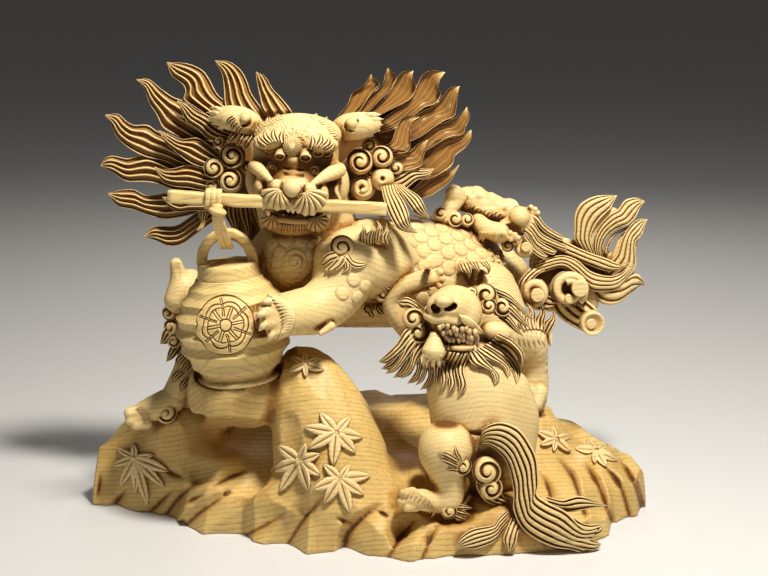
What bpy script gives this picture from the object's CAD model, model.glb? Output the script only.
"""Looks for the carved lion group: sculpted surfaces, hair locks, curls, scales and wood."""

import math

import bpy
import numpy as np
import openvdb as vdb
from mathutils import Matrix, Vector
from mathutils.bvhtree import BVHTree


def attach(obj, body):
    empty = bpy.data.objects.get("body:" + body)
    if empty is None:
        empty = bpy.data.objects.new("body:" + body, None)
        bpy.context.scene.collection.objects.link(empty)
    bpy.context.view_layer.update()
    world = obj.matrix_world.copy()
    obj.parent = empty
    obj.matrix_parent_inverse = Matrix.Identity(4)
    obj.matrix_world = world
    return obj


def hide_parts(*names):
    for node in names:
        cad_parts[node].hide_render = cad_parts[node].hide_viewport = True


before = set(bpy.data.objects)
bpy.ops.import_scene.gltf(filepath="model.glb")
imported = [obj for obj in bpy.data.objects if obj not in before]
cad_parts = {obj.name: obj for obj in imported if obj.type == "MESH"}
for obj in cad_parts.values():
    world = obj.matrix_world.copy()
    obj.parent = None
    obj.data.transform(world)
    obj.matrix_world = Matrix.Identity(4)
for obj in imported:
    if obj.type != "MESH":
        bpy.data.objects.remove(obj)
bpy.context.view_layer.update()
MM = 0.001
RNG = np.random.default_rng(7)

# ------------------------------------------------------------------ drawing frame
FPX = 768 * 70 / 36
TILT = math.radians(12.0)
CE, SE = math.cos(TILT), math.sin(TILT)
EYE = np.array([13.5, 20.0 - 1220.0 * CE, 177.0 + 1220.0 * SE])


def at(u, v, y):
    """Drawing point (u, v) on the upright plane at depth y; arrays welcome; mm."""
    u, v, y = np.broadcast_arrays(np.asarray(u, float), np.asarray(v, float), np.asarray(y, float))
    a = (u - 384.0) / FPX
    b = (288.0 - v) / FPX
    dy, dz = CE + b * SE, -SE + b * CE
    t = (y - EYE[1]) / dy
    return np.stack([EYE[0] + t * a, y, EYE[2] + t * dz], -1)


def P(u, v, y):
    return tuple(float(q) for q in at(u, v, y))


def proj(p):
    r = np.asarray(p, float) - EYE
    dep = r[..., 1] * CE - r[..., 2] * SE
    up = r[..., 1] * SE + r[..., 2] * CE
    return 384 + FPX * r[..., 0] / dep, 288 - FPX * up / dep


def smooth_noise(p, scale, seed=0):
    """Value noise in -1..1 at points p (n,3), period about scale."""
    q = np.asarray(p, float) / scale + seed * 17.31
    i = np.floor(q).astype(np.int64)
    f = q - i
    f = f * f * (3 - 2 * f)
    out = 0.0
    for dx in (0, 1):
        for dy in (0, 1):
            for dz in (0, 1):
                a, b, c = i[..., 0] + dx, i[..., 1] + dy, i[..., 2] + dz
                h = (a * 374761393 + b * 668265263 + c * 2147483647 + seed * 974711) & 0x7FFFFFFF
                h = (h ^ (h >> 13)) * 1274126177 & 0x7FFFFFFF
                w = ((f[..., 0] if dx else 1 - f[..., 0]) * (f[..., 1] if dy else 1 - f[..., 1])
                     * (f[..., 2] if dz else 1 - f[..., 2]))
                out = out + w * ((h % 10007) / 10007.0 * 2 - 1)
    return out


# ------------------------------------------------------------------ mesh gathering
class Acc:
    """Gathers vertices and faces (mm) for one piece."""

    def __init__(self):
        self.v, self.q, self.t, self.c, self.n = [], [], [], [], 0

    def add(self, v, q=None, t=None, c=None):
        v = np.asarray(v, float).reshape(-1, 3)
        self.v.append(v)
        self.c.append(np.zeros(len(v)) if c is None else np.asarray(c, float).ravel())
        if q is not None and len(q):
            self.q.append(np.asarray(q, np.int64) + self.n)
        if t is not None and len(t):
            self.t.append(np.asarray(t, np.int64) + self.n)
        self.n += len(v)

    @staticmethod
    def outward(v, q, t):
        """Turns the faces round where a closed shape would be inside out."""
        q = np.asarray(q, np.int64).reshape(-1, 4)
        t = np.asarray(t, np.int64).reshape(-1, 3)
        tri = np.concatenate([q[:, [0, 1, 2]], q[:, [0, 2, 3]], t])
        p = v - v.mean(0)
        vol = np.einsum("ij,ij->i", p[tri[:, 0]], np.cross(p[tri[:, 1]], p[tri[:, 2]])).sum()
        return (q, t) if vol >= 0 else (q[:, ::-1], t[:, ::-1])

    def tube(self, pts, c=None, ends=True):
        """pts (n stations, m round, 3): closed round the section, capped at both ends."""
        n, m = pts.shape[:2]
        i = np.arange(n - 1)[:, None]
        j = np.arange(m)[None, :]
        j2 = (j + 1) % m
        q = np.stack([i * m + j, i * m + j2, (i + 1) * m + j2, (i + 1) * m + j], -1).reshape(-1, 4)
        v = pts.reshape(-1, 3)
        cc = np.zeros(n * m) if c is None else np.asarray(c).reshape(-1)
        t = []
        if ends:
            v = np.concatenate([v, pts[0].mean(0)[None], pts[-1].mean(0)[None]])
            cc = np.concatenate([cc, [cc[0], cc[-1]]])
            a, b = n * m, n * m + 1
            k = np.arange(m)
            k2 = (k + 1) % m
            t = np.concatenate([np.stack([np.full(m, a), k2, k], -1),
                                np.stack([np.full(m, b), (n - 1) * m + k, (n - 1) * m + k2], -1)])
            q, t = self.outward(v, q, t)
        self.add(v, q, t, cc)

    def polar(self, pts, centre, c=None, cc=0.0, under=None):
        """pts (nr, nt, 3) rings from inside out, closed round; optional under ring closes the back."""
        nr, nt = pts.shape[:2]
        rings = [pts.reshape(-1, 3)]
        cs = [np.zeros(nr * nt) if c is None else np.asarray(c).reshape(-1)]
        nn = nr
        if under is not None:
            rings.append(under)
            cs.append(np.full(nt, 0.6))
            nn += 1
        v = np.concatenate(rings + [np.asarray(centre)[None]])
        cs = np.concatenate(cs + [np.array([cc])])
        i = np.arange(nn - 1)[:, None]
        j = np.arange(nt)[None, :]
        j2 = (j + 1) % nt
        q = np.stack([i * nt + j, (i + 1) * nt + j, (i + 1) * nt + j2, i * nt + j2], -1).reshape(-1, 4)
        k = np.arange(nt)
        t = np.stack([np.full(nt, nn * nt), k, (k + 1) % nt], -1)
        if under is not None:
            v = np.concatenate([v, under.mean(0)[None]])
            cs = np.concatenate([cs, [0.6]])
            o = (nn - 1) * nt
            t = np.concatenate([t, np.stack([np.full(nt, nn * nt + 1), o + (k + 1) % nt, o + k], -1)])
            q, t = self.outward(v, q, t)
        self.add(v, q, t, cs)

    def arrays(self):
        v = np.concatenate(self.v)
        q = np.concatenate(self.q) if self.q else np.zeros((0, 4), np.int64)
        t = np.concatenate(self.t) if self.t else np.zeros((0, 3), np.int64)
        return v, q, t, np.concatenate(self.c)

    def bvh(self):
        v, q, t, _ = self.arrays()
        return BVHTree.FromPolygons([tuple(p) for p in v], [tuple(f) for f in q] + [tuple(f) for f in t])

    def make(self, name, node, slot, mat):
        v, q, t, c = self.arrays()
        v = np.concatenate([v[:, :2], np.maximum(v[:, 2:], 0.1)], 1)
        me = bpy.data.meshes.new(name)
        me.vertices.add(len(v))
        me.vertices.foreach_set("co", (v * MM).astype(np.float32).ravel())
        loops = np.concatenate([q.ravel(), t.ravel()]).astype(np.int32)
        starts = np.concatenate([np.arange(len(q)) * 4, len(q) * 4 + np.arange(len(t)) * 3]).astype(np.int32)
        me.loops.add(len(loops))
        me.loops.foreach_set("vertex_index", loops)
        me.polygons.add(len(starts))
        me.polygons.foreach_set("loop_start", starts)
        me.update(calc_edges=True)
        me.validate()
        me.polygons.foreach_set("use_smooth", np.ones(len(me.polygons), bool))
        at_ = me.attributes.new("cav", "FLOAT", "POINT")
        if len(c) == len(me.vertices):
            at_.data.foreach_set("value", c.astype(np.float32))
        me.materials.append(mat)
        o = bpy.data.objects.new(name, me)
        bpy.context.scene.collection.objects.link(o)
        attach(o, "root")
        if node:
            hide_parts(*([node] if isinstance(node, str) else node))
        return o


def shade(acc, fn):
    """Darkens a piece where fn(u, v, y) says so (drawing units and depth)."""
    for k in range(len(acc.v)):
        u, v = proj(acc.v[k])
        acc.c[k] = np.maximum(acc.c[k], fn(u, v, acc.v[k][:, 1]))


def soft(x, a, b):
    q = np.clip((x - a) / (b - a), 0, 1)
    return q * q * (3 - 2 * q)


# ------------------------------------------------------------------ sculpting field
class Field:
    """Signed-distance sculpting on a grid, mm."""

    def __init__(self, lo, hi, h):
        self.lo, self.h = np.array(lo, float), float(h)
        self.n = [int(math.ceil((hi[i] - lo[i]) / h)) + 1 for i in range(3)]
        self.ax = [(self.lo[i] + h * np.arange(self.n[i])).astype(np.float32) for i in range(3)]
        self.d = np.full(self.n, 40.0, np.float32)

    def part(self, lo, hi):
        s = []
        for i in range(3):
            a = max(0, int(math.floor((lo[i] - self.lo[i]) / self.h)))
            b = min(self.n[i], int(math.ceil((hi[i] - self.lo[i]) / self.h)) + 1)
            if b <= a:
                return None, None, None, None
            s.append(slice(a, b))
        return (tuple(s), self.ax[0][s[0]][:, None, None], self.ax[1][s[1]][None, :, None], self.ax[2][s[2]][None, None, :])

    def put(self, s, dn, k, op):
        d = self.d[s]
        if op == "+":
            r = np.minimum(d, dn)
            if k > 0:
                e = np.maximum(k - np.abs(d - dn), 0) / k
                r = r - e * e * (k * 0.25)
        else:
            r = np.maximum(d, -dn)
            if k > 0:
                e = np.maximum(k - np.abs(d + dn), 0) / k
                r = r + e * e * (k * 0.25)
        self.d[s] = r

    def cone(self, a, b, ra, rb, k=0.0, op="+"):
        a, b = np.array(a, float), np.array(b, float)
        m = max(ra, rb) + k + 3 * self.h + 2
        s, X, Y, Z = self.part(np.minimum(a, b) - m, np.maximum(a, b) + m)
        if s is None:
            return self
        ab = b - a
        L2 = float(ab @ ab) + 1e-9
        t = np.clip(((X - a[0]) * ab[0] + (Y - a[1]) * ab[1] + (Z - a[2]) * ab[2]) / L2, 0, 1).astype(np.float32)
        dx, dy, dz = X - (a[0] + t * ab[0]), Y - (a[1] + t * ab[1]), Z - (a[2] + t * ab[2])
        self.put(s, np.sqrt(dx * dx + dy * dy + dz * dz) - (ra + t * (rb - ra)), k, op)
        return self

    def ball(self, c, r, k=0.0, op="+"):
        return self.cone(c, c, r, r, k, op)

    def tube(self, pts, k=0.0, op="+", n=None):
        """Smooth limb through (x, y, z, r) stations, blended in as one shape."""
        p = np.asarray(pts, float)
        p = spline(p, n or 4 * len(p)) if len(p) > 2 else p
        m = p[:, 3].max() + k + 3 * self.h + 2
        s, X, Y, Z = self.part(p[:, :3].min(0) - m, p[:, :3].max(0) + m)
        if s is None:
            return self
        best = None
        for a, b in zip(p[:-1], p[1:]):
            ab = b[:3] - a[:3]
            L2 = float(ab @ ab) + 1e-9
            t = np.clip(((X - a[0]) * ab[0] + (Y - a[1]) * ab[1] + (Z - a[2]) * ab[2]) / L2, 0, 1).astype(np.float32)
            d = np.sqrt((X - a[0] - t * ab[0]) ** 2 + (Y - a[1] - t * ab[1]) ** 2 + (Z - a[2] - t * ab[2]) ** 2) - (a[3] + t * (b[3] - a[3]))
            best = d if best is None else np.minimum(best, d)
        self.put(s, best.astype(np.float32), k, op)
        return self

    def ell(self, c, r, k=0.0, op="+", rot=None):
        """Ellipsoid; rot = (axis letter, degrees) list."""
        c = np.array(c, float)
        m = max(r) + k + 3 * self.h + 2
        s, X, Y, Z = self.part(c - m, c + m)
        if s is None:
            return self
        x, y, z = X - c[0], Y - c[1], Z - c[2]
        for axis, deg in rot or []:
            co, si = math.cos(math.radians(deg)), math.sin(math.radians(deg))
            if axis == "y":          # turn in the front plane, positive lifts +X end
                x, z = x * co + z * si, -x * si + z * co
            elif axis == "z":
                x, y = x * co + y * si, -x * si + y * co
            else:
                y, z = y * co + z * si, -y * si + z * co
        k0 = np.sqrt((x / r[0]) ** 2 + (y / r[1]) ** 2 + (z / r[2]) ** 2) + 1e-6
        k1 = np.sqrt((x / r[0] ** 2) ** 2 + (y / r[1] ** 2) ** 2 + (z / r[2] ** 2) ** 2) + 1e-9
        self.put(s, (k0 * (k0 - 1) / k1).astype(np.float32), k, op)
        return self

    def rough(self, amp, scale, seed=1):
        X, Y, Z = np.meshgrid(*self.ax, indexing="ij")
        band = np.abs(self.d) < 6
        p = np.stack([X[band], Y[band], Z[band]], -1)
        self.d[band] += (amp * smooth_noise(p, scale, seed)).astype(np.float32)
        return self

    def mesh(self, acc=None, adapt=0.0, cav=True):
        acc = acc or Acc()
        g = vdb.FloatGrid(40.0)
        g.copyFromArray(np.ascontiguousarray(self.d))
        p, t, q = g.convertToPolygons(isovalue=0.0, adaptivity=adapt)
        p = np.asarray(p, float)
        t, q = np.asarray(t, np.int64).reshape(-1, 3), np.asarray(q, np.int64).reshape(-1, 4)
        tri = np.concatenate([t, q[:, [0, 1, 2]], q[:, [0, 2, 3]]])
        vol = np.einsum("ij,ij->i", p[tri[:, 0]], np.cross(p[tri[:, 1]], p[tri[:, 2]])).sum()
        if vol < 0:
            t, q = t[:, ::-1], q[:, ::-1]
        c = np.zeros(len(p))
        if cav:
            # hollow places: mean of the field a little outside, against a flat wall
            gi = np.gradient(self.d)
            idx = np.clip(np.rint(p).astype(int), 0, np.array(self.n) - 1)
            nrm = np.stack([gi[k][idx[:, 0], idx[:, 1], idx[:, 2]] for k in range(3)], -1)
            nrm /= np.linalg.norm(nrm, axis=1, keepdims=True) + 1e-9
            for step in (2.0, 4.0):
                j = np.clip(np.rint(p + nrm * step / self.h).astype(int), 0, np.array(self.n) - 1)
                c += np.clip(1 - self.d[j[:, 0], j[:, 1], j[:, 2]] / step, 0, 1) * 0.6
        acc.add(self.lo + p * self.h, q, t, np.clip(c, 0, 1))
        return acc


# ------------------------------------------------------------------ curves
def spline(pts, n):
    """Even samples along a smooth curve through pts (k, d)."""
    p = np.asarray(pts, float)
    if len(p) == 2:
        return p[0] + (p[1] - p[0]) * np.linspace(0, 1, n)[:, None]
    e = np.concatenate([[2 * p[0] - p[1]], p, [2 * p[-1] - p[-2]]])
    out = []
    for i in range(1, len(e) - 2):
        t = np.linspace(0, 1, 14, endpoint=False)[:, None]
        a, b, c, d = e[i - 1], e[i], e[i + 1], e[i + 2]
        out.append(0.5 * (2 * b + (c - a) * t + (2 * a - 5 * b + 4 * c - d) * t ** 2 + (3 * b - a - 3 * c + d) * t ** 3))
    out = np.concatenate(out + [p[-1:]])
    s = np.concatenate([[0], np.cumsum(np.linalg.norm(np.diff(out, axis=0), axis=1))])
    w = np.linspace(0, s[-1], n)
    return np.stack([np.interp(w, s, out[:, k]) for k in range(out.shape[1])], -1)


def skin(bvhs, u, v, fallback):
    """Depth y of the first surface seen at drawing point (u, v)."""
    eye = Vector(EYE)
    tgt = Vector(P(u, v, 0.0))
    d = (tgt - eye).normalized()
    best = None
    for b in bvhs:
        hit = b.ray_cast(eye, d)
        if hit[0] is not None and (best is None or hit[3] < best[1]):
            best = (hit[0].y, hit[3])
    return fallback if best is None else best[0]


STEP = np.array([0.0, 0.09, 0.19, 0.31, 0.43, 0.5, 0.57, 0.69, 0.81, 0.91])


def comb(n):
    """Positions across n channels and the crest height (1 on a crest, 0 in a channel)."""
    s = np.concatenate([(k + STEP) / n for k in range(n)] + [[1.0]])
    x = np.abs(2 * ((s * n) % 1.0) - 1)
    x[-1] = 1.0
    return s, x


def crest(x, lo=0.12, hi=0.92):
    t = np.clip((x - lo) / (hi - lo), 0, 1)
    return t * t * (3 - 2 * t)


def lock(acc, left, right, y, n=3, high=4.0, groove=1.8, back=2.2, nt=34, per=10, drape=None, lift=0.0, tilt=0.0, sink=0.0, crown=0.45, keen=0.92, plump=0.5, inner=1.0, dish=0.0, dark=1.0, lo=0.12, base=0.0):
    """One carved hair lock drawn by its two edges (drawing units): left from root to tip,
    right from beside the tip to the root.  y: depth or list of depths root to tip.
    n scooped channels between narrow crests; drape: surfaces that it lies on;
    inner lowers the crests between the edges, dish hollows the whole lock."""
    L = spline(left, nt)
    R = spline([left[-1]] + list(right), nt)[::-1]
    tt = np.linspace(0, 1, nt) ** 0.85
    s, x = comb(n)
    if n == 1:
        s = np.linspace(0, 1, 11)
        x = np.abs(2 * s - 1)
    m = len(s)
    yy = np.interp(tt, np.linspace(0, 1, len(np.atleast_1d(y))), np.atleast_1d(y)) if np.ndim(y) else np.full(nt, float(y))
    if drape is not None:
        cs = np.array([0.1, 0.5, 0.9])
        yg = np.zeros((nt, 3))
        for i in range(nt):
            for j, sj in enumerate(cs):
                q = L[i] + (R[i] - L[i]) * sj
                yg[i, j] = skin(drape, q[0], q[1], np.nan)
        for j in range(3):
            col = yg[:, j]
            ok = ~np.isnan(col)
            if ok.any():
                col[~ok] = np.interp(np.flatnonzero(~ok), np.flatnonzero(ok), col[ok])
            else:
                col[:] = yy
        ker = np.array([1, 2, 3, 2, 1]) / 9.0
        for j in range(3):
            yg[:, j] = np.convolve(np.pad(yg[:, j], 2, mode="edge"), ker, "valid")
        ybase = np.stack([np.interp(s, cs, yg[i]) for i in range(nt)]) - lift
    else:
        ybase = np.repeat(yy[:, None], m, 1)
    U = L[:, None, 0] + (R - L)[:, None, 0] * s[None, :]
    V = L[:, None, 1] + (R - L)[:, None, 1] * s[None, :]
    wid = np.linalg.norm((R - L), axis=1) * 0.79
    hh = np.minimum(high, crown * wid)[:, None]
    gg = np.minimum(groove, 0.75 * wid / max(1, n))[:, None]
    if n == 1:
        dome = np.sqrt(np.clip(1 - (2 * s - 1) ** 2, 0, 1)) ** 0.8
        up = np.ones(m)
        front = hh * dome[None, :]
    else:
        dome = np.clip(1 - np.abs(2 * s - 1) ** 2.2, 0, 1) ** plump
        up = crest(x, lo, keen)
        if inner < 1.0:
            up = up * np.where((s > 0.5 / n) & (s < 1 - 0.5 / n), inner, 1.0)
        body = ((0.45 + 0.55 * dome) if dish == 0 else (1 - dish * dome))[None, :] * hh
        front = body - np.minimum(gg, body * 0.92) * (1 - up)[None, :]
    yf = ybase - front + tilt * (s - 0.5)[None, :] * wid[:, None] + sink * (1 - tt)[:, None] ** 2
    rnd = np.sqrt(np.clip(1 - (2 * s - 1) ** 2, 0, 1))
    yb = ybase + np.minimum(back, 0.3 * wid)[:, None] * rnd[None, :] + tilt * (s - 0.5)[None, :] * wid[:, None] + sink * (1 - tt)[:, None] ** 2
    F = at(U, V, yf)
    B = at(U, V, yb)
    loop = np.concatenate([F, B[:, ::-1]], 1)
    low = (1 - up) ** 0.8
    cav = np.concatenate([np.repeat(low[None, :], nt, 0) * np.clip(gg / 1.6, 0, 1) * dark, np.full((nt, m), 0.35)], 1)
    if base > 0:
        q = np.clip((tt - 0.40) / 0.38, 0, 1)
        cav = np.maximum(cav, base * (1 - q * q * (3 - 2 * q))[:, None])
    acc.tube(loop, cav)


def rooted(l, r, c, f):
    """Carries a lock's root on towards c, under what lies in front."""
    c = np.asarray(c, float)
    a0, b0 = np.asarray(l[0], float), np.asarray(r[-1], float)
    return [tuple(a0 + (c - a0) * f)] + list(l), list(r) + [tuple(b0 + (c - b0) * f)]


def fan(acc, root, a0, a1, R, n, y, high=5.0, groove=1.6, swirl=0.0, nr=18, lip=0.35, back=4.0, tilt=0.0):
    """Shell-shaped pad: ribs run from the root out to a rounded rim (drawing units, degrees clockwise from right)."""
    s, x = comb(n)
    w_ = np.linspace(0.0, 1.0, nr)
    rho = 0.06 + 0.94 * np.sin(w_ * np.pi / 2) ** 0.9
    Rs = np.interp(s, np.linspace(0, 1, len(np.atleast_1d(R))), np.atleast_1d(R)) * (0.93 + 0.07 * (1 - np.abs(2 * ((s * n) % 1.0) - 1)))
    th = np.radians(a0 + (a1 - a0) * s)[None, :] + swirl * (rho[:, None] - 0.2)
    U = root[0] + rho[:, None] * Rs[None, :] * np.cos(th)
    V = root[1] + rho[:, None] * Rs[None, :] * np.sin(th)
    rib = np.sqrt(np.clip(1 - x ** 2.2, 0, 1))[None, :]
    bulge = np.sqrt(np.clip(1 - np.clip((rho - 0.62) / 0.38, 0, 1) ** 2.2, 0, 1)) * (0.62 + 0.38 * np.sin(np.pi * np.clip(rho * 0.9, 0, 1)))
    edge = (0.55 + 0.45 * np.sqrt(np.clip(1 - np.abs(2 * s - 1) ** 3, 0, 1)))[None, :]
    g = np.minimum(groove, 0.9 * rho * Rs.mean() * np.radians(abs(a1 - a0)) / n * 0.79)[:, None]
    Y = y - high * bulge[:, None] * edge + g * (1 - rib) * (0.35 + 0.65 * bulge[:, None]) + tilt * rho[:, None]
    F = at(U, V, Y)
    B = at(U, V, y + back + tilt * rho[:, None])
    loop = np.concatenate([F, B[:, ::-1]], 1)
    cav = np.concatenate([np.repeat((1 - rib) ** 1.3, nr, 0) * np.clip(g / 1.0, 0, 1), np.full((nr, len(s)), 0.5)], 1)
    acc.tube(loop, cav)


def frame_of(normal):
    n = np.asarray(normal, float)
    n = n / np.linalg.norm(n)
    x = np.array([1.0, 0, 0]) - n * n[0]
    if np.linalg.norm(x) < 0.2:
        x = np.array([0, 0, 1.0]) - n * n[2]
    x /= np.linalg.norm(x)
    return x, np.cross(n, x), n


def curl(acc, c, R, high=None, turns=2.0, way=1, start=0.0, normal=(0, -1, 0.15), deep=None, knob=0.28, nr=30, nt=72, back=0.5):
    """Round spiral curl: a dome with a spiral groove that winds into a knob.  mm."""
    high = R * 0.55 if high is None else high
    deep = R * 0.30 if deep is None else deep
    x, yv, n = frame_of(normal)
    x = -x if np.dot(np.cross(n, x), np.array([0, 0, 1.0])) < 0 else x
    yv = np.cross(n, x)
    rho = np.linspace(0.03, 1.0, nr)[:, None]
    th = (np.arange(nt) / nt * 2 * np.pi)[None, :]
    ph = turns * rho ** 0.9 + way * (th / (2 * np.pi)) + start
    xx = np.abs(2 * (ph - np.floor(ph)) - 1)
    ridge = crest(xx, 0.08, 0.62)
    inner = np.clip((rho - knob * 0.55) / (knob * 0.6), 0, 1)
    ridge = ridge * inner + (1 - inner)
    base = high * np.sqrt(np.clip(1 - rho ** 3.0, 0, 1))
    z = base * (0.62 + 0.38 * (1 - rho)) - deep * (1 - ridge) * np.clip((1 - rho) * 12, 0, 1) + 0 * th
    c = np.asarray(c, float)
    pts = c + (rho * R * np.cos(th))[..., None] * x + (rho * R * np.sin(th))[..., None] * yv + z[..., None] * n
    under = c + (R * 0.96 * np.cos(th[0]))[:, None] * x + (R * 0.96 * np.sin(th[0]))[:, None] * yv - n * (back * R)
    cav = ((1 - ridge) ** 1.2) * np.ones_like(th)
    acc.polar(pts, c + n * (z[0].mean() + 0.02 * R), cav, 0.0, under)


def whorl(acc, c, R, high, rays=18, twist=0.7, normal=(0, -1, 0.1), deep=None, nr=14, per=6, arc=None, back=0.5):
    """Round pad with curved radial grooves."""
    deep = 0.16 * R if deep is None else deep
    x, yv, n = frame_of(normal)
    nt = rays * per
    rho = np.linspace(0.04, 1.0, nr)[:, None]
    th = (np.arange(nt) / nt * 2 * np.pi)[None, :]
    ph = rays * (th / (2 * np.pi)) + rays * twist * rho * 0.16
    ridge = np.abs(np.sin(np.pi * ph)) ** 0.7
    amp = np.clip((rho - 0.18) * 4, 0, 1)
    z = high * np.sqrt(np.clip(1 - rho ** 2.4, 0, 1)) - deep * amp * (1 - ridge)
    c = np.asarray(c, float)
    pts = c + (rho * R * np.cos(th))[..., None] * x + (rho * R * np.sin(th))[..., None] * yv + z[..., None] * n
    under = c + (R * 0.96 * np.cos(th[0]))[:, None] * x + (R * 0.96 * np.sin(th[0]))[:, None] * yv - n * (back * R)
    acc.polar(pts, c + n * high, (1 - ridge) * amp, 0.0, under)


def sweep(acc, pts, m=14, flat=1.0, c=0.0):
    """Round bar swept through stations (x, y, z, r)."""
    p = np.asarray(pts, float)
    k = spline(p, max(10, 5 * len(p)))
    t = np.gradient(k[:, :3], axis=0)
    t /= np.linalg.norm(t, axis=1, keepdims=True) + 1e-9
    ref = np.array([0, -1.0, 0])
    a = np.cross(t, ref)
    bad = np.linalg.norm(a, axis=1) < 0.15
    a[bad] = np.cross(t[bad], np.array([0, 0, 1.0]))
    a /= np.linalg.norm(a, axis=1, keepdims=True) + 1e-9
    b = np.cross(t, a)
    th = np.arange(m) / m * 2 * np.pi
    ring = (k[:, None, :3] + k[:, 3][:, None, None] * (np.cos(th)[None, :, None] * a[:, None] + flat * np.sin(th)[None, :, None] * b[:, None]))
    acc.tube(ring, np.full(ring.shape[:2], c))


def pad(acc, outline, y, high=5.0, back=4.0, n=64, c=0.0, ribs=0):
    """Low dome over a closed outline in drawing units; ribs: swirled flutes cut into its far side."""
    o = np.asarray(outline, float)
    o = spline(np.concatenate([o, o[:1]]), n + 1)[:-1]
    mid = o.mean(0)
    rho = np.linspace(0.1, 1, 10)[:, None, None]
    uv = mid + (o - mid)[None] * rho
    z = high * np.sqrt(np.clip(1 - rho[..., 0] ** 2.5, 0, 1)) + 0 * uv[..., 0]
    pts = at(uv[..., 0], uv[..., 1], y - z)
    acc.polar(pts[:, ::-1], P(mid[0], mid[1], y - high), np.full(pts.shape[:2], c), c, at(o[:, 0], o[:, 1], y + back)[::-1])
    if ribs:
        w = np.concatenate([np.linspace(0.06, 0.9, 16), [0.96, 1.0]])[:, None]
        th = (np.arange(n) / n)[None, :] * ribs + 1.6 * w ** 1.5
        up = 1 - np.abs(2 * (th % 1.0) - 1) ** 2.6
        uv = mid + (o - mid)[None] * w[..., None]
        z = 7.0 * np.sqrt(np.clip(1 - w ** 2.4, 0, 1)) * (0.55 + 0.45 * up) + 1.5 * up
        acc.polar(at(uv[..., 0], uv[..., 1], y + back - 1.0 + z), P(mid[0], mid[1], y + back + 5.5), 0.65 * (1 - up) ** 0.7, 0.3, at(o[:, 0], o[:, 1], y + back - 2.5))


def scroll(acc, c, R, turns, way=1, start=0.0, thick=5.0, thin=3.0, inner=0.36, rise=4.0, normal=(0, -1, 0.1), tail=0.0):
    """Rolled strand: a bar that winds inwards and comes forward, over a dark cup.  mm, start in turns."""
    x, yv, n = frame_of(normal)
    x = -x if np.dot(np.cross(n, x), np.array([0, 0, 1.0])) < 0 else x
    yv = np.cross(n, x)
    c = np.asarray(c, float)
    w = np.linspace(0, 1, int(26 * turns) + 8)
    an = 2 * np.pi * (start + way * turns * w)
    rr = (R - thick) * (1 - w) + (R - thick) * inner * w
    th = thick * (1 - w) + thin * w
    pts = c + (rr * np.cos(an))[:, None] * x + (rr * np.sin(an))[:, None] * yv + (rise * w ** 1.3)[:, None] * n
    sweep(acc, np.concatenate([pts, th[:, None]], 1), 14)
    nt_ = 40
    t_ = np.arange(nt_) / nt_ * 2 * np.pi
    ring = np.cos(t_)[:, None] * x + np.sin(t_)[:, None] * yv
    cup = np.stack([c + ring * (R * 0.9 * a_) + n * (-thick * 0.9 + b_) for a_, b_ in ((0.2, 0.0), (0.5, 0.1), (0.8, 0.4), (1.0, 0.2))])
    acc.polar(cup, c - n * thick * 0.9, np.full((4, nt_), 0.95), 0.95, c + ring * R * 0.85 - n * (thick + 2.0))


def ring_curl(acc, c, R, normal=(0, -1, 0), off=(0.0, 0.0), nt=40):
    """Small roll seen end on: a raised rim round a dark cup with a bead in it.  mm."""
    x, yv, n = frame_of(normal)
    x = -x if np.dot(np.cross(n, x), np.array([0, 0, 1.0])) < 0 else x
    yv = np.cross(n, x)
    c = np.asarray(c, float)
    th = np.arange(nt) / nt * 2 * np.pi
    ring = np.cos(th)[:, None] * x + np.sin(th)[:, None] * yv
    st_ = [(0.12, 0.10, 0.62), (0.28, 0.08, 0.62), (0.40, 0.0, 0.66), (0.49, 0.0, 0.65), (0.56, -0.16, 0.7), (0.66, -0.18, 0.7), (0.73, -0.05, 0.6),
           (0.78, 0.22, 0.3), (0.84, 0.34, 0), (0.91, 0.32, 0), (0.97, 0.16, 0), (1.0, -0.05, 0.2), (1.0, -0.6, 0.5)]
    o = off[0] * x + off[1] * yv
    pts = np.stack([c + ring * (R * a_) + n * (R * b_) + o * R * max(0.0, 1 - a_ / 0.7) for a_, b_, _ in st_])
    acc.polar(pts, c + n * R * 0.31 + o * R, np.repeat(np.array([q[2] for q in st_], float)[:, None], nt, 1), 0.0, c + ring * R * 0.98 - n * R * 1.1)


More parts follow.
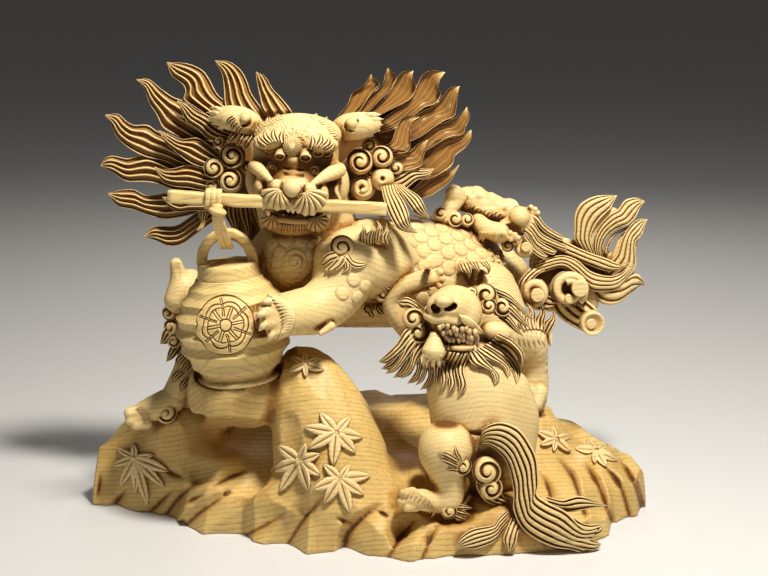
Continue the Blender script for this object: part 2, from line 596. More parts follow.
# ------------------------------------------------------------------ wood
def wood(name, light, mid, dark, seed=0.0, ring=3.3, strength=1.0):
    m = bpy.data.materials.new(name)
    m.use_nodes = True
    nt = m.node_tree
    N, K = nt.nodes, nt.links
    N.clear()

    def new(kind, **inp):
        x = N.new(kind)
        for k, val in inp.items():
            if k.startswith("_"):
                setattr(x, k[1:], val)
        return x

    def put(sock, val):
        if hasattr(val, "is_output"):
            K.new(val, sock)
        else:
            sock.default_value = val

    def math_(op, a, b=0.0, c=0.0):
        x = new("ShaderNodeMath", _operation=op)
        put(x.inputs[0], a)
        put(x.inputs[1], b)
        put(x.inputs[2], c)
        return x.outputs[0]

    def vmath(op, a, b=(0, 0, 0), scale=None):
        x = new("ShaderNodeVectorMath", _operation=op)
        put(x.inputs[0], a)
        if scale is None:
            put(x.inputs[1], b)
        else:
            x.inputs["Scale"].default_value = scale
        return x.outputs[0]

    def noise(vec, scale, detail=2.0):
        x = new("ShaderNodeTexNoise")
        put(x.inputs["Vector"], vec)
        x.inputs["Scale"].default_value = scale
        x.inputs["Detail"].default_value = detail
        return x

    def mix(fac, a, b, blend="MIX"):
        x = new("ShaderNodeMix", _data_type="RGBA", _blend_type=blend)
        put(x.inputs[0], fac)
        put(x.inputs[6], a)
        put(x.inputs[7], b)
        return x.outputs[2]

    co = new("ShaderNodeTexCoord").outputs["Object"]
    mm = vmath("SCALE", co, scale=1000.0)
    mm = vmath("ADD", mm, (seed * 31.0, seed * 13.0, seed * 7.0))
    w1 = vmath("SCALE", vmath("SUBTRACT", noise(mm, 0.0075, 1.0).outputs["Color"], (0.5, 0.5, 0.5)), scale=16.0)
    w2 = vmath("SCALE", vmath("SUBTRACT", noise(mm, 0.06, 2.0).outputs["Color"], (0.5, 0.5, 0.5)), scale=1.8)
    p = vmath("ADD", vmath("ADD", mm, w1), w2)
    sep = new("ShaderNodeSeparateXYZ")
    K.new(p, sep.inputs[0])
    dy = math_("SUBTRACT", sep.outputs[1], 110.0)
    dz = math_("MULTIPLY", math_("SUBTRACT", sep.outputs[2], 440.0), 0.9)
    r = math_("SQRT", math_("ADD", math_("MULTIPLY", dy, dy), math_("MULTIPLY", dz, dz)))
    r = math_("ADD", r, math_("MULTIPLY", sep.outputs[0], 0.06))
    q = math_("DIVIDE", r, ring)
    fr = math_("FRACT", q)
    ramp = new("ShaderNodeValToRGB")
    e = ramp.color_ramp.elements
    e[0].position, e[0].color = 0.0, (0.10, 0.10, 0.10, 1)
    e[1].position, e[1].color = 1.0, (0.12, 0.12, 0.12, 1)
    for pos, val in ((0.10, 0.02), (0.62, 0.08), (0.80, 0.42), (0.92, 1.0)):
        x = e.new(pos)
        x.color = (val, val, val, 1)
    K.new(fr, ramp.inputs[0])
    wn = new("ShaderNodeTexWhiteNoise", _noise_dimensions="1D")
    K.new(math_("FLOOR", q), wn.inputs["W"])
    amt = math_("MULTIPLY", ramp.outputs[0], math_("ADD", math_("MULTIPLY", wn.outputs["Value"], 0.5), 0.5))
    # long pores along the grain, and ring lines broken into dashes
    st = new("ShaderNodeMapping")
    st.inputs["Scale"].default_value = (0.05, 0.9, 0.9)
    K.new(p, st.inputs["Vector"])
    pore = noise(st.outputs[0], 1.0, 2.0).outputs["Fac"]
    pr = new("ShaderNodeMapRange")
    K.new(pore, pr.inputs["Value"])
    pr.inputs["From Min"].default_value, pr.inputs["From Max"].default_value = 0.54, 0.72
    poref = math_("MULTIPLY", pr.outputs[0], 0.22)
    ds = new("ShaderNodeMapping")
    ds.inputs["Scale"].default_value = (0.14, 0.5, 0.5)
    K.new(p, ds.inputs["Vector"])
    dash = new("ShaderNodeMapRange")
    K.new(noise(ds.outputs[0], 1.0, 1.0).outputs["Fac"], dash.inputs["Value"])
    dash.inputs["From Min"].default_value, dash.inputs["From Max"].default_value = 0.36, 0.58
    amt = math_("MULTIPLY", amt, math_("ADD", math_("MULTIPLY", dash.outputs[0], 0.55), 0.45))
    big = noise(mm, 0.012, 3.0).outputs["Fac"]
    col = mix(big, light, mid)
    col = mix(math_("MULTIPLY", amt, 0.62 * strength), col, dark)
    col = mix(poref, col, dark)
    cav = new("ShaderNodeAttribute", _attribute_name="cav")
    cavf = cav.outputs["Fac"]
    geo = new("ShaderNodeNewGeometry")
    pt = geo.outputs["Pointiness"]
    lo = new("ShaderNodeMapRange")
    K.new(pt, lo.inputs["Value"])
    lo.inputs["From Min"].default_value, lo.inputs["From Max"].default_value = 0.50, 0.40
    hi = new("ShaderNodeMapRange")
    K.new(pt, hi.inputs["Value"])
    hi.inputs["From Min"].default_value, hi.inputs["From Max"].default_value = 0.515, 0.62
    hollow = math_("MINIMUM", math_("ADD", math_("MULTIPLY", cavf, 0.90), math_("MULTIPLY", lo.outputs[0], 0.50)), 0.93)
    col = mix(math_("MINIMUM", math_("MULTIPLY", hollow, 1.6), 1.0), col, (0.42, 0.205, 0.042, 1))
    col = mix(math_("MAXIMUM", math_("MULTIPLY", math_("SUBTRACT", hollow, 0.45), 1.9), 0.0), col, (0.07, 0.021, 0.004, 1))
    col = mix(math_("MULTIPLY", hi.outputs[0], 0.45), col, (0.93, 0.77, 0.47, 1))
    bs = new("ShaderNodeBsdfPrincipled")
    K.new(col, bs.inputs["Base Color"])
    bs.inputs["Roughness"].default_value = 0.50
    bs.inputs["Specular IOR Level"].default_value = 0.32
    fine = noise(vmath("SCALE", mm, scale=1.0), 0.9, 2.0).outputs["Fac"]
    hgt = math_("ADD", math_("MULTIPLY", amt, -0.15), math_("MULTIPLY", fine, 0.30))
    bump = new("ShaderNodeBump")
    bump.inputs["Strength"].default_value = 0.22
    bump.inputs["Distance"].default_value = 0.0006
    K.new(hgt, bump.inputs["Height"])
    K.new(bump.outputs[0], bs.inputs["Normal"])
    out = new("ShaderNodeOutputMaterial")
    K.new(bs.outputs[0], out.inputs["Surface"])
    return m


LION = wood("lion_wood", (0.82, 0.665, 0.345, 1), (0.70, 0.505, 0.195, 1), (0.33, 0.165, 0.04, 1), 0.0, 3.1, 1.0)
ROCK = wood("rock_wood", (0.73, 0.53, 0.20, 1), (0.58, 0.38, 0.105, 1), (0.17, 0.068, 0.014, 1), 0.0, 3.3, 1.25)
LANT = wood("lantern_wood", (0.80, 0.61, 0.265, 1), (0.65, 0.45, 0.145, 1), (0.25, 0.115, 0.028, 1), 0.0, 3.2, 1.2)
DOWL = wood("dowel_wood", (0.74, 0.56, 0.32, 1), (0.66, 0.47, 0.25, 1), (0.42, 0.25, 0.10, 1), 2.0)
for nd in ("joint_dowels", "small_dowels"):
    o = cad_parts[nd]
    o.data.materials.clear()
    o.data.materials.append(DOWL)

# ------------------------------------------------------------------ rock
RIM = [(-231, 5), (-226, -8), (-208, -10), (-181, -28), (-154, -40), (-146, -60), (-127, -74),
       (-98, -77), (-90, -92), (-64, -98), (-44, -115), (-17, -104), (7, -121), (36, -130),
       (62, -118), (100, -116), (140, -108), (172, -92), (190, -76), (198, -50), (221, -34), (231, -6),
       (226, 26), (212, 54), (190, 74), (158, 95), (120, 108), (80, 122), (40, 127), (0, 130),
       (-50, 124), (-92, 116), (-130, 100), (-166, 82), (-196, 60), (-217, 38)]
PEAKS = [(-217, 4, 56), (-207, -4, 70), (-190, -18, 79), (-178, -28, 76), (-172, -38, 58), (-150, -6, 88), (-118, -44, 62), (-132, -58, 36),
         (-98, -66, 30), (-62, -84, 44), (-24, -92, 60), (-12, -100, 34), (36, -118, 14), (49, -88, 30),
         (20, -72, 56), (62, -104, 20), (100, -80, 38), (140, -94, 18), (80, -40, 58), (138, 14, 79),
         (191, 0, 47), (214, -10, 31), (172, -50, 38), (186, -68, 18), (0, 50, 82), (110, 80, 74),
         (-100, 50, 84), (-180, 30, 72), (200, 36, 38), (0, 100, 62), (-90, 90, 64), (150, 70, 50)]


def rock_field(h):
    f = Field((-236, -135, -4), (236, 135, 156), h)
    X, Y = np.meshgrid(f.ax[0].astype(float), f.ax[1].astype(float), indexing="ij")
    num = np.zeros_like(X)
    den = np.zeros_like(X)
    for px, py, pz in PEAKS:
        w = 1.0 / ((X - px) ** 2 + (Y - py) ** 2 + 60.0) ** 2
        num += w * pz
        den += w
    H = num / den
    # inside distance to the rim
    e = np.full(X.shape, 1e9)
    ins = np.zeros(X.shape, bool)
    n = len(RIM)
    for i in range(n):
        (x0, y0), (x1, y1) = RIM[i], RIM[(i + 1) % n]
        ex, ey = x1 - x0, y1 - y0
        t = np.clip(((X - x0) * ex + (Y - y0) * ey) / (ex * ex + ey * ey), 0, 1)
        e = np.minimum(e, np.hypot(X - x0 - t * ex, Y - y0 - t * ey))
        hit = ((y0 > Y) != (y1 > Y)) & (X < (x1 - x0) * (Y - y0) / ((y1 - y0) + 1e-12) + x0)
        ins ^= hit
    e = np.where(ins, e, -e)
    lim = np.where(e > 0, 84 * (1 - np.exp(-np.maximum(e, 0) / 10.0)), 6 * e)
    k = 14.0
    g = np.maximum(k - np.abs(H - lim), 0) / k
    Hc = np.minimum(H, lim) - g * g * k * 0.25
    gx, gy = np.gradient(Hc, h)
    sl = np.sqrt(1 + np.minimum(gx * gx + gy * gy, 40.0))
    f.d = np.clip((f.ax[2][None, None, :] - Hc[:, :, None]) / sl[:, :, None], -30, 30).astype(np.float32)
    # central pillar and lantern shelf
    f.tube([(-22, -62, 30, 50), (-34, -56, 80, 40), (-46, -50, 112, 30), (-55, -46, 130, 17)], 14)
    f.tube([(-104, -52, 107, 35), (-104, -54, 111, 35), (-102, -56, 117, 31)], 8)
    f.tube([(-134, -8, 60, 34), (-150, -8, 66, 26)], 14)
    f.ball((-116, 16, 55), 29, 10)
    return f


GA = np.arange(90)
BALL = np.stack([np.sqrt(1 - (1 - 2 * (GA + 0.5) / 90) ** 2) * np.cos(GA * 2.39996), np.sqrt(1 - (1 - 2 * (GA + 0.5) / 90) ** 2) * np.sin(GA * 2.39996), 1 - 2 * (GA + 0.5) / 90], -1)


# grooves between the lobes of the skirt: points from the top end down (drawing units), depth mm, reach left and right
GROOVES = [
    ([(128, 487), (119, 498), (108, 512)], 2.6, 5, 13), ([(178, 486), (163, 499), (143, 518)], 3.2, 9, 14),
    ([(203, 478), (178, 498), (161, 522)], 3.4, 9, 13), ([(233, 490), (200, 512), (179, 532)], 5.4, 9, 16),
    ([(204, 494), (194, 498), (183, 504)], 2.6, 3, 9), ([(288, 512), (262, 526), (238, 539)], 5.0, 24, 16),
    ([(326, 493), (302, 521), (286, 546)], 5.4, 19, 20), ([(382, 503), (360, 519.6), (347, 533), (344, 547)], 4.8, 9, 20),
    ([(420, 516), (404, 532), (387, 558)], 4.6, 18, 13), ([(438, 524), (430, 539), (420, 562)], 3.2, 9, 12),
    ([(334, 517), (344, 521), (355, 526)], 2.2, 4, 3), ([(373, 510), (381, 513), (390, 518)], 2.2, 5, 3),
    ([(250, 470), (232, 476), (208, 489)], 2.6, 9, 6), ([(160, 466), (172, 474), (186, 479)], 2.0, 4, 7),
    ([(558, 458), (572, 478), (580, 502)], 2.8, 15, 8), ([(583, 462), (597, 485), (606, 508)], 3.6, 17, 8),
    ([(604, 466), (620, 488), (630, 522)], 4.6, 14, 7), ([(620, 460), (634, 485), (641, 510)], 3.4, 10, 6),
    ([(540, 470), (548, 490), (552, 512)], 2.4, 12, 7), ([(100, 470), (99, 484), (96, 500)], 1.6, 4, 8),
]


def groove_map():
    """Depth cut away on the drawing plane, one value per drawing unit."""
    U, V = np.meshgrid(np.arange(80.0, 661.0), np.arange(395.0, 586.0), indexing="ij")
    out, ink = np.zeros_like(U), np.zeros_like(U)
    for pts, dep, wl, wr in GROOVES:
        dep = dep * 1.9
        q = spline(pts, 13)
        seg = np.linalg.norm(np.diff(q, axis=0), axis=1)
        run = np.concatenate([[0], np.cumsum(seg)])
        best, side, along = np.full(U.shape, 1e9), np.zeros(U.shape), np.zeros(U.shape)
        for i in range(len(q) - 1):
            e = q[i + 1] - q[i]
            t = ((U - q[i, 0]) * e[0] + (V - q[i, 1]) * e[1]) / (e @ e)
            t = np.clip(t, 0, 1 if i < len(q) - 2 else 4.0)
            dx, dv = U - q[i, 0] - t * e[0], V - q[i, 1] - t * e[1]
            d = np.hypot(dx, dv)
            near_ = d < best
            best = np.where(near_, d, best)
            side = np.where(near_, np.sign(dx * e[1] - dv * e[0]), side)
            along = np.where(near_, (run[i] + t * seg[i]) / run[-1], along)
        short = len(pts) == 3 and dep < 5.1
        env = np.clip(along / 0.45, 0, 1) ** 0.8 * (np.clip((1.0 - along) / 0.4, 0, 1) ** 0.8 if short else 1.0)
        reach = np.where(side > 0, wr, wl)
        x = np.clip(1 - best / (reach * (0.35 + 0.65 * env) + 1e-6), 0, 1)
        out = np.maximum(out, dep * env * np.where(side > 0, x ** 1.15, x))
        ink = np.maximum(ink, env * (0.80 * np.exp(-(best / np.where(side > 0, 2.6, 1.5)) ** 2) + 0.30 * np.where(side > 0, np.exp(-(best / 9.0) ** 2), 0)))
    return out, np.clip(ink, 0, 0.9)


GMAP, INK = groove_map()


def cut_rock():
    coarse = rock_field(4.0)
    a = coarse.mesh(cav=False)
    v, _, _, _ = a.arrays()
    gi = np.gradient(coarse.d, 4.0)
    idx = np.clip(np.rint((v - coarse.lo) / 4.0).astype(int), 0, np.array(coarse.n) - 1)
    nrm = np.stack([gi[k][idx[:, 0], idx[:, 1], idx[:, 2]] for k in range(3)], -1)
    nrm /= np.linalg.norm(nrm, axis=1, keepdims=True) + 1e-9
    f = rock_field(1.25)
    rng = np.random.default_rng(11)
    order = rng.permutation(len(v))
    kept = []
    for i in order:
        p, nn = v[i], nrm[i]
        if p[2] < 4 or nn[2] < -0.2:
            continue
        front = p[1] < 10 and nn[1] < 0.25
        if front and p[2] < 62:
            continue
        gap = 24.0 if front else 19.0
        if all((p[0] - q[0]) ** 2 + (p[1] - q[1]) ** 2 + (p[2] - q[2]) ** 2 > gap ** 2 for q in kept):
            kept.append(p)
            side = np.array([-1.0 if p[0] < 90 else 1.0, 0.0, 0.0])
            tdir = np.array([0, 0, -1.0]) + side * (0.9 if p[2] < 60 else 0.35) + rng.normal(0, 0.16, 3)
            tdir -= nn * (tdir @ nn)
            tdir /= np.linalg.norm(tdir) + 1e-9
            dep = rng.uniform(1.2, 2.4) if front else rng.uniform(1.6, 3.2)
            ln = rng.uniform(30, 56)
            cross = np.cross(nn, tdir)
            lean = nn + cross * rng.uniform(-0.20, 0.20)
            lean /= np.linalg.norm(lean)
            # the widest gouge that does not bite into the next slope
            for R in (64.0, 48.0, 36.0, 27.0, 20.0):
                c = p + lean * (R - dep)
                half = tdir * min(ln, 1.2 * R) * 0.5
                q = np.concatenate([c - half - BALL * R, c + half - BALL * R, c - BALL * R])
                j = np.clip(np.rint((q - coarse.lo) / 4.0).astype(int), 0, np.array(coarse.n) - 1)
                if coarse.d[j[:, 0], j[:, 1], j[:, 2]].min() > -dep - 3.2:
                    f.cone(c - half, c + half, R, R * rng.uniform(0.94, 1.06), 0.0, "-")
                    break
    # lobes of the skirt, seen from the front
    G = GMAP
    near_ = np.abs(f.d) < 14
    near_[:, f.ax[1] > 24, :] = False
    ii, jj, kk = np.nonzero(near_)
    pt = np.stack([f.ax[0][ii], f.ax[1][jj], f.ax[2][kk]], -1).astype(float)
    u, w = proj(pt)
    u, w = np.clip(u - 80.0, 0, G.shape[0] - 1.01), np.clip(w - 395.0, 0, G.shape[1] - 1.01)
    iu, iw = u.astype(int), w.astype(int)
    fu, fw = u - iu, w - iw
    cut = (G[iu, iw] * (1 - fu) * (1 - fw) + G[iu + 1, iw] * fu * (1 - fw) + G[iu, iw + 1] * (1 - fu) * fw + G[iu + 1, iw + 1] * fu * fw)
    f.d[ii, jj, kk] += (cut * np.clip((24 - pt[:, 1]) / 20, 0, 1)).astype(np.float32)
    # smooth hollow under the shelf, open to the left, and the cleft right of the pillar
    f.ell(P(214, 440, -80), (46, 44, 18.5), 4, "-")
    f.ell(P(404, 452, -60), (12, 34, 20), 6, "-")
    f.d = np.maximum(f.d, -(f.ax[2][None, None, :]))
    return f


rock = cut_rock()
LOW, TOP = np.array(P(239.5, 379, -58)), np.array(P(227.5, 262, -58))
AX = (TOP - LOW) / np.linalg.norm(TOP - LOW)
# flat seat for the lantern
X, Y, Z = rock.ax[0][:, None, None], rock.ax[1][None, :, None], rock.ax[2][None, None, :]
h_ = (X - LOW[0]) * AX[0] + (Y - LOW[1]) * AX[1] + (Z - LOW[2]) * AX[2]
rr = np.sqrt(np.maximum((X - LOW[0]) ** 2 + (Y - LOW[1]) ** 2 + (Z - LOW[2]) ** 2 - h_ ** 2, 0))
seat = np.interp(h_, [-6, -0.3, 0.2, 13, 28, 44, 62, 80, 97, 110], [0, 0, 33, 36, 44, 47, 45.5, 39, 29, 29])
rock.d = np.maximum(rock.d, np.where(h_ > -0.3, seat - rr, -9.0).astype(np.float32))
rock_acc = rock.mesh(adapt=0.01)
ROCK_BVH = rock_acc.bvh()
shade(rock_acc, lambda u, v, y: np.where(y < 15, INK[np.clip(np.rint(u - 80), 0, 580).astype(int), np.clip(np.rint(v - 395), 0, 190).astype(int)], 0))
shade(rock_acc, lambda u, v, y: 0.62 * (1 - soft(((u - 218) / 50) ** 2 + ((v - 440) / 25) ** 2, 0.45, 1.0)) * soft(y, -100, -88) * (1 - soft(y, -44, -28)))

# ------------------------------------------------------------------ lion's body
body = Field((-100, -75, 95), (205, 125, 300), 1.0)
body.tube([(-40, 8, 188, 40), (10, 20, 190, 45), (50, 32, 188, 45), (74, 42, 184, 42)], 10)
body.ell((84, 22, 166), (34, 32, 42), 10)                       # left haunch
body.ell((84, 78, 166), (34, 32, 42), 10)                       # right haunch
body.ell(P(372, 262, -14), (34, 30, 34), 10)                    # left shoulder
body.ell((-66, 8, 196), (30, 30, 36), 10)                       # right shoulder
body.ell(P(294, 263, -28), (37, 27, 36), 8)                     # chest
body.ell(P(474, 281, -20), (13.5, 16, 10.5), 1.5, "-", [("y", -8)])
torso_acc = body.mesh(adapt=0.0)
TORSO_BVH = torso_acc.bvh()

neck = Field((-110, -60, 190), (20, 50, 300), 1.2)
neck.tube([(-38, 0, 212, 36), (-48, -8, 240, 37), (-53, -14, 266, 36)], 6)
neck_acc = neck.mesh()

fore = Field((-95, -118, 130), (60, 20, 255), 0.8)
fore.tube([(*P(378, 262, -26), 29), (*P(352, 264, -42), 27.5), (*P(336, 292, -56), 21.5), (*P(318, 308, -66), 19.5),
           (*P(300, 312, -76), 17.5), (*P(288, 314, -84), 16.5)], 8)
fore.ell(P(345, 255, -52), (23, 18, 17), 8)
for u, v, y, r in ((271, 303, -98, 6.0), (266, 312, -102, 6.2), (268, 322, -102, 6.2), (274, 331, -98, 6.0)):
    fore.cone(P(u + 14, v * 0.6 + 314 * 0.4, -90), P(u, v, y), 8.0, r, 3)
fore.cone(P(331, 326, -84), P(321, 333, -88), 3.4, 2.2, 2)      # dew claw
fore_acc = fore.mesh()
FORE_BVH = fore_acc.bvh()

fore_r = Field((-150, -40, 70), (-40, 60, 240), 1.2)
fore_r.tube([(-70, 8, 192, 27), (-90, 14, 166, 21), (-106, 20, 136, 16), (-112, 21, 108, 14), (-115, 14, 92, 16.5)], 6)
for dx in (-9, 0, 9):
    fore_r.cone((-115 + dx, 8, 92), (-117 + dx, -6, 88), 7, 6, 2)
fore_r_acc = fore_r.mesh()

hind = Field((70, -45, 66), (175, 70, 230), 0.9)
hind.tube([(92, 14, 170, 32), (108, 2, 148, 25), (*P(529, 343, 4), 15.0), (*P(531, 362, 10), 12.5)], 8)
hind.tube([(*P(532, 360, 12), 12.5), (*P(531, 384, 12), 14.5), (*P(530, 398, 8), 14)], 3)
for u in (518, 529, 540):
    hind.cone(P(u, 392, -2), P(u - 4, 404, -8), 6.5, 5.5, 2)
hind.ball(P(545.5, 360, 6), 3.0, 1)
hind.ball(P(544.5, 368.5, 6), 3.0, 1)
hind.ell(P(474, 281, -20), (13.5, 16, 10.5), 1.5, "-", [("y", -8)])
hind_acc = hind.mesh()
HIND_BVH = hind_acc.bvh()

hind_r = Field((70, 40, 60), (165, 140, 225), 1.2)
hind_r.tube([(108, 86, 168, 32), (112, 98, 142, 23), (122, 96, 118, 15), (124, 90, 98, 13), (118, 84, 81, 16.5)], 6)
hind_r_acc = hind_r.mesh()

# ------------------------------------------------------------------ mane
def bead(acc, c, R, high, normal=(0, -1, 0.15), nt=44):
    """Round boss with a small dimple."""
    x, yv, n = frame_of(normal)
    th = np.arange(nt) / nt * 2 * np.pi
    ring = np.cos(th)[:, None] * x + np.sin(th)[:, None] * yv
    c = np.asarray(c, float)
    st_ = [(0.06, 0.66, 1.0), (0.13, 0.70, 0.9), (0.20, 0.86, 0.3), (0.28, 0.93, 0), (0.42, 0.90, 0), (0.60, 0.78, 0), (0.76, 0.60, 0), (0.90, 0.34, 0), (0.98, 0.08, 0.1), (1.0, -0.2, 0.4)]
    pts = np.stack([c + ring * (R * a_) + n * (high * b_) for a_, b_, _ in st_])
    acc.polar(pts, c + n * high * 0.64, np.repeat(np.array([q for _, _, q in st_])[:, None], nt, 1), 1.0, c + ring * R * 0.97 - n * R * 0.5)


MANE_L_REAR = [
    ([(262.8, 107.6), (259.4, 94.2), (256.7, 80.8), (256.1, 71.4)],
     [(265.4, 76.8), (272.8, 88.8), (281.5, 98.2), (292, 112)]),
    ([(227.9, 113), (224.6, 100.9), (223.9, 88.8), (221.9, 74.1), (214.8, 60.4)],
     [(229.3, 61.8), (240.7, 70.1), (247.4, 82.1), (252, 94.2), (266, 114)]),
    ([(207.9, 116), (193.1, 106.2), (183.7, 99.6), (185.4, 91.5), (182.4, 84.1), (171.7, 75.4), (166.6, 62.3)],
     [(186.4, 63.4), (201.2, 69.4), (209.2, 78.8), (216.6, 92.9), (225.3, 100.9), (244, 114)]),
    ([(191.8, 143.7), (175.7, 135.7), (163, 127.7), (157, 115.6), (148.9, 102.2), (144.2, 88.8), (135.8, 79.2)],
     [(148.9, 79.2), (161, 88.8), (173, 96.9), (183.7, 100.9), (197.1, 108.9), (216, 123)]),
    ([(186, 170), (165, 161.2), (146.2, 157.1), (130.2, 149.1), (116.8, 137.1), (111.4, 125), (104.7, 114.7)],
     [(118.1, 114), (126.2, 121), (134.2, 125), (147.6, 125), (158.3, 131.7), (184, 144)]),
    ([(184, 192), (157, 183.9), (143.6, 181.9), (126.2, 181.2), (112.8, 172.5), (100.4, 166.2)],
     [(104.7, 158.5), (112.8, 155.8), (127.5, 158.5), (139.6, 155.1), (151.6, 154.5), (184, 168)]),
    ([(196, 213), (175.7, 218.1), (162.3, 219), (147.6, 214.7), (134.2, 210), (118.1, 206), (107.7, 193.6)],
     [(120.8, 190), (134.2, 189.7), (146.2, 195.3), (162.3, 193.3), (190, 190)]),
    ([(218, 218), (203.8, 228.1), (193.1, 236.2), (182.4, 244.2), (169, 246.2), (157, 240.8), (144, 236.8)],
     [(151.6, 227.5), (162.3, 226.1), (175.7, 225.4), (189.1, 217.4), (208, 204)]),
]
MANE_L_FRONT = [
    ([(209, 139), (197.1, 129), (186.4, 121), (181.1, 110.3), (176.8, 100.6)],
     [(187.8, 103.6), (197.1, 110.3), (207.9, 115.6), (225, 127)]),
    ([(211, 169), (191.8, 163.8), (177, 153.1), (165, 142.4), (158, 130.1)],
     [(170.4, 134.4), (182.4, 139.1), (197.1, 137.7), (207.9, 143.7), (222, 155)]),
    ([(210, 191), (189.1, 187.9), (175.7, 186.6), (162.3, 181.2), (154, 166.5)],
     [(163.7, 169.2), (175.7, 167.9), (189.1, 164.9), (210, 170)]),
    ([(210, 210), (189.1, 210.7), (178.4, 212), (169, 206.7), (162, 197)],
     [(173, 196), (186.4, 194.6), (208, 192)]),
    ([(212, 206), (207, 218), (203, 228), (196.5, 231)], [(201, 222), (198, 216), (199, 206)]),
]
MANE_R_REAR = [
    ([(338, 116), (347.8, 103.6), (352.3, 93.4), (363.8, 85.1), (371.2, 74.5)],
     [(376.5, 80.6), (379.7, 84.4), (371.4, 93.4), (356, 116)]),
    ([(352, 114), (368.9, 97.2), (381.6, 85.7), (384.8, 76.1), (387.8, 67.6)],
     [(393.8, 73), (396.3, 77.4), (394.4, 81.9), (388, 92.1), (379, 101), (366, 114)]),
    ([(364, 116), (381.6, 101), (389.3, 92.1), (395, 81.9), (402, 72.3), (413.3, 70.7)],
     [(412.9, 78.1), (416.3, 85.7), (413.5, 94.6), (405.9, 101.7), (386, 112)]),
    ([(382, 119), (402, 104.8), (412.2, 95.9), (417.3, 84.4), (423.7, 73.6), (433.9, 70.2), (445.4, 71.9)],
     [(439.7, 80.6), (438.4, 88.3), (440.9, 94.6), (435.2, 103.6), (422.4, 108.7), (402, 126)]),
    ([(400, 128), (419.9, 112.5), (435.2, 104.8), (442.9, 95.9), (450.5, 87.6), (459.4, 86)],
     [(457.5, 97.2), (456.3, 107.4), (453.7, 116.3), (440.3, 122.7), (414, 140)]),
    ([(414, 142), (431.4, 126.5), (446.7, 121.4), (459.4, 115.1), (466.8, 106.8)],
     [(469.9, 116.3), (465.8, 126.5), (462, 134.2), (446.7, 138), (420, 153)]),
    ([(414, 166), (428.8, 145.7), (442.9, 138), (458.2, 136.1), (471.2, 129.7)],
     [(471.6, 136.7), (465.8, 146.9), (455, 155.9), (449.9, 167.3), (424, 180)]),
    ([(406, 192), (426.3, 176.3), (439, 171.8), (451.8, 169.3), (459.7, 164.2)],
     [(456.3, 171.2), (449.9, 181.4), (439, 190.3), (427.6, 196.7), (410, 199)]),
]
MANE_R_FRONT = [
    ([(390, 143), (395, 131.6), (399.5, 121.4), (407.1, 115.7), (419.6, 117)],
     [(412.2, 122.7), (410.3, 134.2), (408, 151)]),
    ([(386, 157), (396.9, 149.5), (409.7, 151.4), (418.6, 143.1), (427.9, 139.5)],
     [(425.6, 148.2), (423.1, 158.4), (418.6, 167.3), (400, 171)]),
    ([(384, 174), (396.9, 172.4), (409.7, 166.1), (421.2, 168.6), (434.2, 168.6)],
     [(428.8, 176.3), (417.3, 180.1), (405.9, 189), (392, 195)]),
]
MANE_LOCKS = [
    ([(381, 186), (383, 197), (388, 213), (396, 227), (405, 232), (418.5, 233.5)],
     [(411, 225), (408.5, 212), (404, 201), (398, 192), (395, 184)]),
    ([(392, 184), (400, 193), (409, 206), (416, 214), (430, 219)],
     [(427, 212), (424, 204), (419, 196), (410, 190), (402, 184)]),
]

a = Acc()
for i, (l, r) in enumerate(MANE_L_REAR):
    l, r = rooted(l, r, (296, 160), 0.22)
    lock(a, l, r, [12, 2, 4, 5, 2], n=4 if i else 3, high=6.0, groove=3.2, back=3.0, tilt=0.12, nt=44, keen=0.95, lo=0.36, dark=0.66)
pad(a, [(272, 108), (225, 112), (196, 128), (184, 165), (190, 200), (206, 214), (226, 210), (262, 208), (266, 160), (272, 130)], 12, 2, 6, n=208, c=0.8, ribs=26)
a.make("vis_mane_left_rear", "mane_left_rear", "lion_wood", LION)

a = Acc()
for i, (l, r) in enumerate(MANE_L_FRONT):
    l, r = rooted(l, r, (296, 160), 0.2)
    lock(a, l, r, [-4, -11, -9, -7, -9], n=4, high=5.6, groove=3.0, back=3.0, tilt=0.1, nt=44, keen=0.95, lo=0.36, dark=0.70)
pad(a, [(244, 122), (222, 124), (206, 145), (202, 180), (206, 208), (226, 206), (254, 200), (256, 160), (252, 138)], 7, 3, 8, c=0.8)
pad(a, [(226, 206), (262, 206), (277, 222), (277, 246), (258, 252), (240, 237), (228, 222)], 3, 1.0, 5, c=0.92)
for l, r in (([(224, 205), (225, 216), (231, 226), (232, 238)], [(238, 226), (238, 214), (238, 204)]),
             ([(235, 205), (238, 218), (244, 230), (244, 244)], [(251, 230), (251, 216), (250, 204)]),
             ([(247, 205), (252, 220), (258, 232), (259, 248)], [(267, 234), (267, 218), (264, 205)])):
    lock(a, l, r, [-6, -4, -2, 0], n=3, high=4.0, groove=2.2, back=3, nt=28, keen=0.9, lo=0.3, dark=0.9, base=0.6)
a.make("vis_mane_left_front", "mane_left_front", "lion_wood", LION)

a = Acc()
for i, (l, r) in enumerate(MANE_R_REAR):
    l, r = rooted(l, r, (296, 160), 0.24)
    lock(a, l, r, [12, 2, 4, 5, 2], n=(3, 3, 4, 5, 4, 4, 4, 4)[i], high=5.4, groove=2.4, back=3.0, tilt=-0.12, nt=44, keen=1.0, lo=0.4, inner=0.16, dish=0.25, dark=0.74, base=0.62)
pad(a, [(336, 118), (352, 101), (369, 94), (383, 86), (398, 81), (416, 91), (438, 100), (452, 117), (459, 135), (448, 165), (440, 181), (424, 192), (404, 199), (384, 206), (340, 208), (330, 160)], 9, 1.0, 6, n=208, c=0.9, ribs=26)
a.make("vis_mane_right_rear", "mane_right_rear", "lion_wood", LION)

